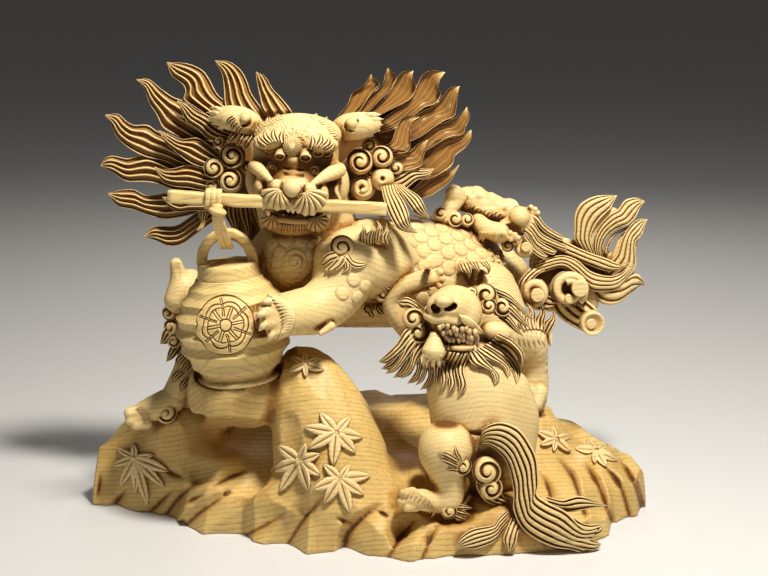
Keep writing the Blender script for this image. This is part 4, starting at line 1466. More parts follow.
a = Acc()
a.tube(turned([(20, 0.3), (28, 0.3), (30.5, 0.6), (32, 2.2), (31.4, 3.6), (29.2, 4.6), (28.6, 6.0), (29.6, 8.5), (31.5, 11), (33, 12.9), (33, 13.6), (20, 13.6)]))
a.make("vis_lantern_base_ring", "lantern_base_ring", "lantern_wood", LANT)
a = Acc()
a.tube(turned([(16, H1 - 0.6), (24, H1 - 0.6), (24.6, H1 + 0.2), (23.6, H1 + 3), (23.2, H1 + 7), (23.2, LAN_H - 0.7), (22.4, LAN_H), (16, LAN_H)]))
a.make("vis_lantern_cap", "lantern_cap", "lantern_wood", LANT)
a = Acc()
arc = [(-19.2, -1.0), (-19.2, 3), (-17.6, 9.4), (-13.4, 16), (-7.2, 20.6), (0, 22.2), (7.2, 20.6), (13.4, 16), (17.6, 9.4), (19.2, 3), (19.2, -1.0)]
pp = spline(arc, 46)
st = []
for i, q in enumerate(pp):
    t = pp[min(i + 1, 45)] - pp[max(i - 1, 0)]
    t /= np.linalg.norm(t)
    st.append((LOW + AX * (LAN_H + q[1]) + LX * q[0], 4.0 + 0.1 * math.sin(i), 4.4, LX * -t[1] + AX * t[0], LF))
box_bar(a, st, 28, 6)
a.make("vis_lantern_hoop", "lantern_hoop", "lantern_wood", LANT)

# ------------------------------------------------------------------ lion's tail
TAIL_FLAMES = [
    ([(586.9, 258), (574.7, 240.2), (574.2, 229), (574.7, 214.7), (580.8, 203.5), (593, 196.8), (605.3, 195.1), (617.3, 195.3)],
     [(613.5, 203.5), (610.4, 209.6), (601.2, 218.8), (594, 229), (591, 241.2), (597.1, 260)]),
    ([(595.1, 260), (593.1, 241.2), (599.2, 225.9), (610.4, 213.7), (617.6, 209.6), (624.7, 200.4), (635.9, 197.7), (645, 201.1)],
     [(640, 208.6), (635.9, 217.8), (628.8, 224.9), (617.6, 229), (607.3, 237.1), (602.2, 249.4), (604, 262)]),
    ([(603, 268), (615.5, 255), (619.6, 243), (625.0, 232), (632, 223), (640, 219), (647.6, 219.3)],
     [(645.4, 224.9), (642, 235.1), (635.9, 242.2), (635.4, 251.4), (636.4, 261.6), (633.9, 271.8), (621.6, 284)]),
    ([(606, 280), (624.7, 278), (633.9, 273.9), (640, 275.4), (646.2, 285.6)],
     [(640, 286.1), (631.8, 292.8), (619.6, 303), (607.3, 305), (597.1, 300.4), (590, 289)]),
]


def band(acc, one, two, y, n=4, high=4.0, groove=1.8, back=5.0, nt=46, ends=(0.4, 0.4), drape=None, lift=0.0, keen=0.88, dark=1.0):
    """Grooved ribbon between two edges drawn in the same direction; ends taper the height."""
    A, B = spline(one, nt), spline(two, nt)
    s, x = comb(n)
    m = len(s)
    tt = np.linspace(0, 1, nt)
    yy = np.interp(tt, np.linspace(0, 1, len(np.atleast_1d(y))), np.atleast_1d(y))
    U = A[:, None, 0] + (B - A)[:, None, 0] * s
    V = A[:, None, 1] + (B - A)[:, None, 1] * s
    wid = np.linalg.norm(B - A, axis=1) * 0.79
    env = np.clip(np.minimum(ends[0] + tt * 6, ends[1] + (1 - tt) * 6), 0, 1)
    dome = np.sqrt(np.clip(1 - np.abs(2 * s - 1) ** 2.4, 0, 1))
    up = crest(x, 0.10, keen)
    hh = (np.minimum(high, 0.5 * wid) * env)[:, None]
    gg = np.minimum(groove, 0.75 * wid / n)[:, None]
    body_ = hh * (0.35 + 0.65 * dome)
    front = body_ - np.minimum(gg, body_ * 0.9) * (1 - up)
    base = np.repeat(yy[:, None], m, 1)
    if drape is not None:
        for i in range(nt):
            q = [skin(drape, *(A[i] + (B[i] - A[i]) * w), yy[i]) for w in (0.1, 0.5, 0.9)]
            base[i] = np.interp(s, (0.1, 0.5, 0.9), q) - lift
    rnd = np.sqrt(np.clip(1 - (2 * s - 1) ** 2, 0, 1))
    F = at(U, V, base - front)
    K = at(U, V, base + np.minimum(back, 0.5 * wid)[:, None] * rnd)
    loop = np.concatenate([F, K[:, ::-1]], 1)
    cav = np.concatenate([np.repeat((1 - up)[None], nt, 0) * np.clip(gg / 1.6, 0, 1) * dark, np.full((nt, m), 0.3)], 1)
    acc.tube(loop, cav)


def stub(acc, c, R, high, normal=(0, -1, 0.1), nt=40, dish=0.0):
    """Flat-ended round, the cut end of a scroll."""
    x, yv, n = frame_of(normal)
    th = np.arange(nt) / nt * 2 * np.pi
    ring = np.cos(th)[:, None] * x + np.sin(th)[:, None] * yv
    c = np.asarray(c, float)
    st_ = [(0.25, high - dish), (0.62, high - dish * 0.8), (0.80, high - dish * 0.2), (0.90, high), (0.97, high - 0.35), (1.0, high - 1.0), (1.0, high * 0.5), (1.0, 0.0)]
    pts = np.stack([c + ring * (R * a_) + n * b_ for a_, b_ in st_])
    cav = np.repeat(np.array([0.25 * (dish > 0)] * 2 + [0.0] * 5 + [0.5])[:, None], nt, 1)
    acc.polar(pts, c + n * (high - dish), cav, 0.0, c + ring * R * 0.98 - n * 2.0)


a = Acc()
pad(a, [(576, 236), (579, 216), (594, 205), (611, 207), (618, 211), (606, 224), (598, 240), (602, 258), (586, 260)], 46, 3, 6)
pad(a, [(612, 252), (620, 236), (634, 228), (638, 240), (634, 262), (632, 280), (614, 292), (600, 284)], 46, 4, 6)
for i, (l, r) in enumerate(TAIL_FLAMES):
    lock(a, l, r, [46, 44, 44, 48], n=(4, 4, 4, 3)[i], high=6.5, groove=1.6, back=8, nt=50, keen=0.5, plump=0.35, dark=0.75)
lock(a, [(603, 252), (607.5, 240), (616, 231.5), (627, 226.5), (641, 221)], [(634, 226.5), (624, 231), (615, 237), (609, 247), (608, 256)], [45, 44, 44, 45], n=2, high=5, groove=1.4, back=6, nt=34, keen=0.5, dark=0.8)
TB1 = ([(524, 214), (532.7, 218.4), (551.8, 233), (566.4, 241.9), (588.4, 252), (606, 258), (622, 264), (636, 258)],
       [(520, 229), (526.8, 233), (541.5, 243.3), (554.7, 252), (569.4, 258), (588.4, 265.4), (606, 271.2), (626, 269.8)])
TB2 = ([(538, 262), (547.3, 258), (562, 255), (576.7, 259.5), (591.4, 271.2), (610.4, 275.6), (625, 269.8), (635.4, 258)],
       [(530, 276), (545, 272), (562, 268), (574, 276), (590, 290.3), (606, 291.8), (620.7, 287.4), (636.8, 266)])
band(a, *TB2, [30, 34, 40, 42], n=4, high=8, groove=1.8, back=9, nt=60, keen=0.5, dark=0.75)
band(a, *TB1, [36, 38, 40, 42], n=3, high=6, groove=1.8, back=9, nt=60, keen=0.5, dark=0.75)
pad(a, [(536, 236), (566, 238), (604, 250), (630, 258), (630, 280), (604, 298), (560, 292), (530, 270)], 50, 4, 14, ribs=7)
a.make("vis_lion_tail", "lion_tail", "lion_wood", LION)

a = Acc()
scroll(a, P(533.5, 291.8, 24), 13.4, 1.25, 1, 0.75, 4.2, 3.2, 0.45, 3.0)
stub(a, P(536.5, 294.5, 22), 5.6, 8.5)
scroll(a, P(568.8, 289.3, 26), 17.0, 1.45, 1, 0.86, 4.4, 3.2, 0.50, 3.0)
stub(a, P(578.8, 287.4, 24), 6.9, 10.5)
stub(a, P(568.3, 297.8, 24), 3.6, 7.5)
stub(a, P(589, 320.5, 30), 10.0, 13.0, (0.15, -1, 0.0), dish=2.4)
stub(a, P(589.5, 322.5, 24), 4.2, 6.5, (0.15, -1, 0.0))
band(a, [(548, 296), (553, 310), (565, 322), (582, 331)], [(582, 296), (588, 301), (594, 306), (598, 311)], [36, 34, 32, 30], n=4, high=7, groove=2.6, back=9, keen=0.55, dark=0.9)
band(a, [(526, 296), (532, 307), (544, 311), (553, 307)], [(546, 294), (550, 296), (556, 298), (562, 300)], [32, 32, 32], n=3, high=5, groove=2.2, back=9, keen=0.55, dark=0.9)
band(a, [(530, 268), (519, 281), (517, 292), (520, 302)], [(546, 270), (537, 276), (531, 284), (529, 294)], [28, 26, 28], n=3, high=5, groove=2.2, back=9, keen=0.55, dark=0.9)
pad(a, [(522, 276), (560, 270), (592, 284), (596, 310), (560, 312), (526, 306)], 42, 6, 8)
a.make("vis_lion_tail_curls", "lion_tail_curls", "lion_wood", LION)

# ------------------------------------------------------------------ cub on the back
f = Field((45, 5, 200), (150, 75, 285), 0.7)
f.tube([(*P(461, 199, 42), 9), (*P(475, 202, 42), 11.5), (*P(491, 209, 40), 12), (*P(508, 212, 38), 11)], 6)
f.tube([(*P(466, 195, 44), 6), (*P(475, 194, 44), 6.5), (*P(486, 200, 42), 5)], 4)
f.tube([(92, 46, 214, 6.4), (92, 46, 240, 7.5)], 4)
f.rough(1.0, 4.4, 5)
a = f.mesh()
CB = a.bvh()
for ru, rv, tu, tv, b in ((478, 207, 473, 216, 1.5), (489, 211, 485, 219, 1.5), (500, 213, 496, 221, 1.5)):
    tuft(a, CB, (ru, rv), (tu, tv), 9.0, 2, 2.2, 1.0, b, 0.2, 36, 16, keen=0.6, dark=0.7)
a.make("vis_back_cub_body", "back_cub_body", "lion_wood", LION)

f = Field((92, -15, 190), (165, 60, 268), 0.6)
f.ell(P(520, 221, 30), (13, 13, 12), 0)
f.ball(P(519.4, 217.0, 20), 8.3, 2.0)
f.ell(P(507, 227, 24), (8, 9, 7), 3)
f.ell(P(532, 211.5, 27), (6, 4, 4), 1.5, "+", [("y", -20)])
for u, v in ((531, 207.5), (535, 209.5), (537.5, 213)):
    f.ball(P(u, v, 25), 2.4, 0.6)
f.ell(P(514, 230, 14), (9, 6, 4), 1.5, "-", [("y", -25)])
a = f.mesh()
BH = a.bvh()
for l, r, y in (([(523, 210), (537, 214), (547, 226), (564, 237)], [(561, 241), (544, 232), (534, 221), (524, 217)], [24, 26, 32, 34]),
                ([(524, 217), (534, 222), (543, 234), (567, 246)], [(564, 250), (541, 241), (531, 230), (525, 225)], [22, 24, 29, 32]),
                ([(525, 225), (532, 230), (540, 241), (557, 251)], [(552, 255), (537, 248), (530, 238), (525, 233)], [20, 22, 26, 28]),
                ([(524, 232), (529, 238), (536, 247), (548, 256)], [(543, 259), (532, 252), (526, 244), (523, 238)], [18, 20, 22, 24])):
    lock(a, l, r, y, n=2, high=4.4, groove=1.8, nt=34, back=6, keen=0.5, dark=0.75)
scroll(a, P(525, 247.7, 22), 9.6, 1.05, 1, 0.2, 3.2, 2.6, 0.5, 2.0)
stub(a, P(525.5, 246.6, 19), 4.0, 4.0)
curl(a, P(507.5, 245.7, 18), 5.2, 4.2, 1.2, 1, 0.5, (0, -1, 0.2), deep=1.9, nr=16, nt=36)
curl(a, P(514.5, 242, 18), 3.4, 3.0, 1.0, -1, 0.2, (0, -1, 0.2), deep=1.2, nr=14, nt=30)
a.make("vis_back_cub_head", "back_cub_head", "lion_wood", LION)

f = Field((62, -15, 190), (130, 50, 255), 0.6)
f.tube([(*P(478, 222, 28), 7), (*P(487, 229, 20), 7.5), (*P(500, 233, 17), 8.2)], 3)
f.tube([(*P(500, 234, 16), 4.5), (*P(508, 236, 13), 3.6)], 2)
for u, v in ((510, 233), (515, 235), (518, 238), (511, 239)):
    f.cone(P(508, 236, 13), P(u, v, 11), 3.0, 2.4, 0.8)
a = f.mesh()
BL = a.bvh()
for k in range(7):
    t = k / 6.0
    tuft(a, BL, (482 + 21 * t, 232 - 1.5 * t), (478 + 26 * t, 242 - 3.5 * t + 1.5 * math.sin(k * 2.1)), 5.6, 1, 3.4, 1.0, 1.0 if k % 2 else -0.6, 0.6, 14, 14)
for r_ in range(3):
    for c_ in range(3):
        u, v = 489.5 + 5.2 * c_ + 1.6 * r_, 250 + 5.4 * r_ + 1.2 * c_
        curl(a, on(TORSO_BVH, u, v, -0.6, 14), 2.7, 2.3, 0.9, 1 if (r_ + c_) % 2 else -1, 0.2 * c_, (0.2, -1, 0.4), deep=0.9, nr=10, nt=22, back=1.0)
a.make("vis_back_cub_foreleg", "back_cub_foreleg", "lion_wood", LION)

f = Field((36, -5, 205), (85, 60, 275), 0.7)
f.tube([(*P(457, 197, 30), 8), (*P(451, 207, 26), 7), (*P(445, 218, 22), 5.4)], 3)
f.ball(P(454, 193.5, 27), 7.2, 2)
a = f.mesh()
curl(a, P(441, 214, 19), 6.0, 4.5, 1.3, 1, 0.3, (0, -1, 0.3), deep=1.8, nr=16, nt=40)
curl(a, P(455, 219, 19), 6.6, 4.5, 1.3, -1, 0.3, (0, -1, 0.3), deep=1.8, nr=16, nt=40)
curl(a, P(467, 220, 20), 5.6, 4.0, 1.3, -1, 0.6, (0, -1, 0.3), deep=1.6, nr=16, nt=40)
a.make("vis_back_cub_hindleg", "back_cub_hindleg", "lion_wood", LION)

# ------------------------------------------------------------------ cub in front
f = Field((20, -118, 22), (152, -15, 170), 0.9)
f.tube([(*P(478, 362, -56), 23), (*P(477, 388, -60), 29), (*P(482, 420, -62), 31), (*P(490, 452, -60), 32)], 8)
f.tube([(*P(455, 388, -60), 22), (*P(462, 424, -64), 24)], 10)
f.tube([(*P(508, 392, -58), 18), (*P(516, 418, -57), 18), (*P(512, 442, -56), 18)], 10)
f.ell(P(478, 436, -96), (30, 6, 2.0), 2.5, "-", [("y", -6)])
a = f.mesh()
a.make("vis_front_cub_body", "front_cub_body", "lion_wood", LION)
CUB_BVH = a.bvh()

f = Field((0, -132, 4), (88, -50, 96), 0.7)
f.ell(P(446, 447, -92), (21, 22, 20), 0)
f.tube([(*P(445, 458, -94), 17), (*P(447, 472, -95), 14), (*P(449, 486, -95), 12.3), (*P(448, 498, -96), 11.6)], 6)
f.tube([(*P(444, 502, -96), 9), (*P(424, 500, -104), 8.4), (*P(408, 498, -110), 6.4)], 4)
for u, v in ((404, 493), (402, 500), (407, 506)):
    f.cone(P(u + 8, v, -108), P(u, v + 1, -114), 4.6, 3.8, 1.5)
f.ball(P(449, 511, -94), 7, 2)
f.tube([(63.6, -85.5, 15, 6.6), (68, -84, 30, 5.8), (72.4, -82.5, 45, 7.4)], 5)
a = f.mesh()
LEG_BVH = a.bvh()
curl(a, on(LEG_BVH, 462, 466, -1.0), 7.4, 4.2, 1.5, -1, 0.2, (0.2, -1, 0.0), deep=2.2)
for tip, mid, r0, w in (((437, 453), (446, 455), (457, 461), 5.5), ((440, 459), (448, 462), (457, 466), 5), ((455, 444.5), (456, 452), (460, 460), 5), ((470, 452), (468, 457), (464, 462), 4.5), ((446, 470), (451, 469), (458, 470), 4.5)):
    d = np.array(tip, float) - r0
    s = np.array([-d[1], d[0]]) / np.linalg.norm(d) * w * 0.5
    lock(a, [tuple(np.array(r0) - s), tuple(np.array(mid) - s), tip], [tuple(np.array(mid) + s), tuple(np.array(r0) + s)], -108, n=2, high=3.0, groove=1.4, nt=18, per=6, drape=[LEG_BVH], lift=0.6)
fringe(a, LEG_BVH, [(401, 489), (412, 490), (424, 496), (432, 503), (436, 510)], lambda t: (-0.35 - 0.3 * t, 1.0), 9, 11, 3.4, 2.4)
curl(a, on(LEG_BVH, 449, 511, -0.6, -100), 6.2, 3.6, 1.4, 1, 0.4, (0.1, -1, 0), deep=1.8)
for tip, r0 in (((473, 508), (455, 507)), ((471, 515), (455, 511)), ((468, 521), (454, 515))):
    d = np.array(tip, float) - r0
    s = np.array([-d[1], d[0]]) / np.linalg.norm(d) * 2.6
    m = (np.array(tip) + r0) * 0.5
    lock(a, [tuple(np.array(r0) - s), tuple(m - s), tip], [tuple(m + s), tuple(np.array(r0) + s)], [-102, -104, -100], n=2, high=3.0, groove=1.3, nt=16, per=6, back=5)
a.make("vis_front_cub_leg", "front_cub_leg", "lion_wood", LION)

f = Field((15, -112, 112), (118, -25, 200), 0.55)
f.ell(P(454, 312, -64), (21.5, 22, 20.5), 0)
f.ell(P(447, 306, -78), (15.5, 13, 12), 4)
f.ell(P(496, 331, -66), (12.5, 9, 7.4), 1.0, "+", [("y", -14)])
f.ell(P(456, 350, -66), (16, 16, 8), 2)
f.ell(P(461, 338, -86), (15.5, 13, 8.6), 1.2, "-", [("y", -12)])
f.ell(P(461, 346, -78), (11, 9, 3.4), 1.5)
f.ell(P(435.8, 308.4, -86.5), (3.8, 8.0, 3.6), 1.0, "-", [("y", -20)])
f.ell(P(450.4, 306.6, -88.0), (5.0, 7.6, 3.2), 1.0, "-", [("y", 12)])
f.ell(P(443.6, 301.2, -89.0), (6.6, 6.0, 4.6), 1.8)
f.cone(P(434.5, 336, -84), P(433.6, 350, -86), 4.0, 9.0, 0.6)
f.tube([(*P(427, 316, -78), 3.0), (*P(434, 319, -85), 3.6), (*P(445, 319, -87), 3.8), (*P(457, 322, -85), 3.2)], 2)
a = f.mesh()
HB = a.bvh()
lock(a, [(459, 314), (469, 317), (478, 325), (485, 335)], [(477, 333), (468, 328), (461, 321)], -84, n=1, high=3.6, groove=0.5, nt=24, drape=[HB], lift=1.6, crown=0.5)
rt = np.random.default_rng(5)
for row_, (v0, slope, y0) in enumerate(((325.5, 0.16, -88), (330.5, 0.18, -86), (335.5, 0.20, -84))):
    for k in range(9 - row_):
        u = 439 + row_ * 3.0 + 4.4 * k + rt.uniform(-1.5, 1.5)
        v = v0 + slope * (u - 440) + rt.uniform(-1.7, 1.7)
        y = y0 + 0.16 * max(0, k - 3) ** 2 + rt.uniform(-0.6, 0.6)
        sweep(a, [(*P(u, v - 1.2, y + 2.5), 2.2), (*P(u, v, y), 2.0), (*P(u + 0.4, v + 2.6, y), 1.5), (*P(u + 0.5, v + 3.6, y + 0.6), 0.5)], 8)
for k in range(8):
    u, v = 444 + 4.4 * k, 349.5 + 0.2 * k
    y = -82 + 0.14 * (k - 3) ** 2
    sweep(a, [(*P(u, v, y), 1.7), (*P(u, v - 3.6, y), 1.5), (*P(u, v - 5.4, y), 0.5)], 8)
shade(a, lambda u, v, y: 0.60 * (1 - soft(((u - 459) / 22) ** 2 + ((v - 335 - 0.15 * (u - 459)) / 12.5) ** 2, 0.6, 1.1)) * soft(v, 319, 325))
for u, v, r, wy, yy in ((485.5, 295, 11.5, -1, -58), (488, 306, 8.5, 1, -62), (501.5, 307, 10, -1, -54), (472, 293, 6, -1, -62)):
    curl(a, P(u, v, yy), r * 0.78, r * 0.55, 1.5, wy, 0.2, (0.1, -1, 0.3), deep=r * 0.28)
for cu, cv, ru_, rv_, yy in ((435.8, 308.6, 3.4, 3.6, -79.5), (450.4, 306.8, 4.6, 3.2, -81.5)):
    pad(a, [(cu + ru_ * math.cos(q * 0.7854), cv + rv_ * math.sin(q * 0.7854)) for q in range(8)], yy, 0.4, 2, n=24, c=0.62)
pad(a, [(440, 326), (452, 324), (468, 329), (479, 336), (476, 346), (462, 350), (446, 347), (438, 337)], -77, 1.0, 4, c=0.95)
for l, r in (([(494, 287), (508, 293), (520, 304), (535, 320)], [(527, 317), (513, 305), (499, 298)]),
             ([(499, 297), (511, 304), (521, 315), (531, 328)], [(521, 324), (509, 314), (499, 308)]),
             ([(499, 309), (509, 315), (516, 324), (524, 337)], [(514, 331), (505, 323), (498, 318)])):
    lock(a, l, r, [-48, -52, -52, -46], n=3, high=4.6, groove=2.0, nt=30, back=5, keen=0.55, dark=0.85)
for k in range(7):
    t = k / 6.0
    an = math.radians(200 - 220 * t)
    c = np.array([433.6 + 9.5 * math.cos(an), 352.5 + 7.5 * math.sin(math.radians(20 + 140 * t))])
    tuft(a, HB, c, (c[0] + (t - 0.5) * 5, c[1] + 8.5), 4.4, 1, 2.8, 0.6, 0.8, 0.4, -90, 12)
a.make("vis_front_cub_head", "front_cub_head", "lion_wood", LION)

a = Acc()
ML = [([(415, 322), (404, 331), (396, 344), (378, 362)], [(388, 363), (403, 352), (422, 333)]),
      ([(418, 328), (405, 342), (399, 358), (385, 374)], [(396, 371), (410, 356), (427, 338)]),
      ([(423, 334), (412, 350), (409, 364), (400, 379)], [(411, 374), (419, 359), (432, 343)]),
      ([(429, 340), (422, 358), (422, 372), (415, 386)], [(424, 380), (430, 364), (438, 347)]),
      ([(436, 348), (431, 364), (433, 378), (426, 392)], [(436, 388), (441, 370), (447, 351)])]
for k, (l, r) in enumerate(ML):
    lock(a, l, r, [-64, -71, -73, -68], n=3, high=6, groove=2.8, back=5, nt=36, keen=0.6, dark=0.9)
for k, (l, r) in enumerate((([(414, 322), (402, 338), (395, 354), (381, 369)], [(394, 369), (407, 354), (422, 336)]),
                            ([(420, 331), (408, 348), (404, 362), (393, 378)], [(405, 375), (415, 358), (430, 341)]),
                            ([(426, 338), (417, 356), (416, 370), (407, 384)], [(418, 380), (425, 362), (436, 346)]),
                            ([(433, 345), (427, 362), (428, 376), (420, 390)], [(430, 386), (436, 368), (444, 350)]))):
    lock(a, l, r, [-62, -67, -69, -64], n=3, high=5, groove=2.6, back=6, nt=30, keen=0.6, dark=0.9)
for u, v, r, wy in ((413.5, 318.6, 11, 1), (418.5, 332, 12, -1)):
    curl(a, P(u, v, -70), r * 0.78, r * 0.55, 1.5, wy, 0.3, (-0.1, -1, 0.2), deep=r * 0.28)
lock(a, [(425, 309), (415, 301), (406, 297), (397, 301)], [(401, 308), (409, 308), (421, 316)], [-64, -68, -66, -62], n=3, high=4.2, groove=2.0, back=3, keen=0.55, dark=0.9)
pad(a, [(426, 306), (412, 322), (406, 344), (418, 366), (436, 364), (442, 340), (438, 318)], -58, 3, 9)
a.make("vis_front_cub_mane_left", "front_cub_mane_left", "lion_wood", LION)

a = Acc()
MR = [([(446, 351), (439, 366), (441, 380), (438, 393)], [(447, 384), (448, 368), (455, 353)]),
      ([(454, 352), (447, 368), (449, 382), (447, 395)], [(456, 386), (455, 370), (463, 354)]),
      ([(462, 352), (456, 368), (459, 384), (458, 397)], [(467, 386), (464, 370), (470, 354)]),
      ([(466, 352), (472, 364), (489, 371), (495, 385)], [(500, 376), (487, 361), (477, 350)]),
      ([(474, 350), (486, 359), (501, 366), (508, 378)], [(511, 368), (498, 354), (485, 346)]),
      ([(483, 346), (496, 354), (509, 364), (517, 384)], [(521, 370), (510, 351), (493, 340)]),
      ([(492, 340), (506, 346), (515, 354), (522, 368)], [(524, 354), (514, 341), (500, 333)])]
for k, (l, r) in enumerate(MR):
    lock(a, l, r, -88, n=3 if k > 2 else 2, high=5.5, groove=2.8, back=5, nt=36, drape=[CUB_BVH, HB], lift=1.4, keen=0.55, dark=0.95)
a.make("vis_front_cub_mane_right", "front_cub_mane_right", "lion_wood", LION)

f = Field((0, -75, 145), (75, -15, 215), 0.7)
f.tube([(*P(416, 334, -44), 11), (*P(399, 314, -42), 10), (*P(394, 299, -42), 9), (*P(407, 287, -46), 8.6), (*P(425, 279, -50), 7.4)], 4)
f.ball(P(432, 278, -52), 7, 2)
for u, v in ((440, 272), (442, 279), (440, 286)):
    f.cone(P(433, 278, -52), P(u, v, -55), 4, 3, 1)
a = f.mesh()
AB = a.bvh()
fringe(a, AB, [(424, 269), (421, 278), (424, 288)], lambda t: (1.0, (t - 0.5) * 0.6), 8, 7, 3.2, 2.0)
a.make("vis_front_cub_arm", "front_cub_arm", "lion_wood", LION)

a = Acc()
OUT = [(480.2, 437), (483.9, 427.9), (500, 422), (517.6, 427.9), (529.4, 442.5), (536.7, 458.7), (538.2, 482.1), (536.7, 493.9), (548.4, 502.7), (566, 511.5), (579.2, 524.7), (588, 529), (599.8, 526)]
INN = [(481, 445.5), (491.2, 446.9), (503, 457.2), (508, 466), (510.3, 473.3), (513.2, 490.9), (513.2, 500), (513.2, 510), (519.1, 524.7), (530.8, 536.4), (551.4, 546.7), (571.9, 550), (582.2, 554)]
band(a, OUT, INN, [-98, -108, -112, -114, -110], n=6, high=7.5, groove=3.0, back=10, nt=80, ends=(0.5, 0.2), keen=0.55, dark=0.95)
lock(a, [(560, 508), (572, 516), (586, 524), (604, 524)], [(600, 534), (580, 536), (556, 530)], [-112, -110, -104], n=3, high=5, groove=3.0, back=6, keen=0.55, dark=0.9)
lock(a, [(556, 526), (572, 534), (584, 536), (602, 544)], [(594, 550), (576, 548), (552, 542)], [-113, -112, -106], n=3, high=5, groove=3.0, back=6, keen=0.55, dark=0.9)
lock(a, [(546, 496), (562, 500), (580, 496), (608, 506)], [(592, 508), (570, 512), (550, 508)], [-104, -104, -96], n=3, high=4.5, groove=2.8, back=6, keen=0.55, dark=0.9)
lock(a, [(508, 509), (498.6, 517.4), (492.7, 524.7), (472.1, 529.1), (459.5, 538.4), (454, 551)], [(462.9, 549.1), (478, 548.2), (495.6, 540.8), (510, 524.7)],
     [-104, -112, -120, -122], n=5, high=5.5, groove=3.0, back=7, nt=50, keen=0.55, dark=0.9)
lock(a, [(512, 516), (506, 530), (503, 540), (509, 553)], [(516, 544), (518, 534), (522, 524)], [-108, -116, -118], n=3, high=4.5, groove=2.0, back=5, keen=0.55, dark=0.9)
a.make("vis_front_cub_tail", "front_cub_tail", "lion_wood", LION)

a = Acc()
curl(a, P(487, 471, -104), 11.2, 7.0, 1.8, 1, 0.2, (0, -1, 0.15), deep=3.0)
curl(a, P(491, 488, -104), 9.2, 6.0, 1.7, -1, 0.3, (0, -1, 0.1), deep=2.6)
band(a, [(478, 474), (476, 486), (484, 500), (496, 506)], [(500, 480), (500, 488), (504, 496), (512, 500)], [-98, -98, -100], n=3, high=5, groove=2, back=10)
a.make("vis_front_cub_tail_curls", "front_cub_tail_curls", "lion_wood", LION)

# ------------------------------------------------------------------ cub behind the lantern
f = Field((-185, -45, 66), (-105, 45, 185), 0.9)
f.tube([(-140, -2, 172, 13), (-139, -2, 146, 15.5), (-136, -2, 120, 16.5), (-138, -6, 100, 15), (-142, -10, 88, 12)], 6)
f.tube([(*P(192, 352, -14), 10), (*P(184, 376, -18), 10.5), (*P(173, 398, -22), 10)], 6)
a = f.mesh()
LB = a.bvh()
for ru, rv, tu, tv in ((184, 356, 176, 368), (190, 362, 183, 376), (181, 372, 172, 384), (188, 380, 180, 393)):
    tuft(a, LB, (ru, rv), (tu, tv), 8, 3, 3.0, 1.8, 1.5, 0.5, -20, 16)
a.make("vis_left_cub_body", "left_cub_body", "lion_wood", LION)

f = Field((-185, -50, 120), (-105, 15, 225), 0.8)
f.tube([(*P(190, 284, -6), 12), (*P(184, 289, -12), 12.5), (*P(178, 300, -16), 11)], 5)
f.cone(P(179, 277, -12), P(176, 264, -14), 7, 5.0, 4)
f.ell(P(178, 269, -20.5), (3.0, 3, 6.6), 1.5, "-", [("y", 8)])
a = f.mesh()
for u, v, r, wy in ((174, 299, 7.5, 1), (169, 313, 7.5, -1), (182, 313, 7.5, 1), (171, 327, 8.0, 1), (184, 328, 7.5, -1), (174, 341, 7.5, -1), (186, 343, 7.0, 1)):
    curl(a, P(u, v, -18), r * 0.8, r * 0.55, 1.4, wy, u * 0.1, (-0.3, -1, 0.1), deep=r * 0.27, nr=20, nt=44, back=1.2)
for l, r in (([(176, 340), (169, 349), (166, 362)], [(174, 358), (184, 346)]), ([(184, 344), (178, 355), (175, 369)], [(184, 364), (192, 349)]), ([(171, 322), (163, 331), (160, 344)], [(168, 343), (178, 332)])):
    lock(a, l, r, [-14, -18, -16], n=3, high=4.4, groove=2.6, back=6)
a.make("vis_left_cub_head", "left_cub_head", "lion_wood", LION)

f = Field((-195, -50, 48), (-125, 5, 108), 0.7)
f.tube([(*P(172, 400, -22), 11), (*P(160, 406, -26), 11), (*P(146, 411, -30), 9), (*P(135, 416, -32), 7)], 4)
for u, v in ((129, 413), (130, 420), (136, 425)):
    f.cone(P(u + 10, v - 2, -34), P(u, v, -38), 5.2, 4.2, 1.5)
a = f.mesh()
FB = a.bvh()
curl(a, on(FB, 166, 413, -1, -30), 8.4, 4.4, 1.6, -1, 0.1, (0, -1, 0.2), deep=2.2)
fringe(a, FB, [(142, 406), (148, 412), (150, 420)], lambda t: (-1.0, 0.5), 8, 7, 3.4, 2.2)
a.make("vis_left_cub_foot", "left_cub_foot", "lion_wood", LION)


# ------------------------------------------------------------------ maple leaves on the rock
LEAF = wood("leaf_wood", (0.82, 0.64, 0.32, 1), (0.71, 0.51, 0.21, 1), (0.36, 0.19, 0.06, 1), 1.0, 3.2)


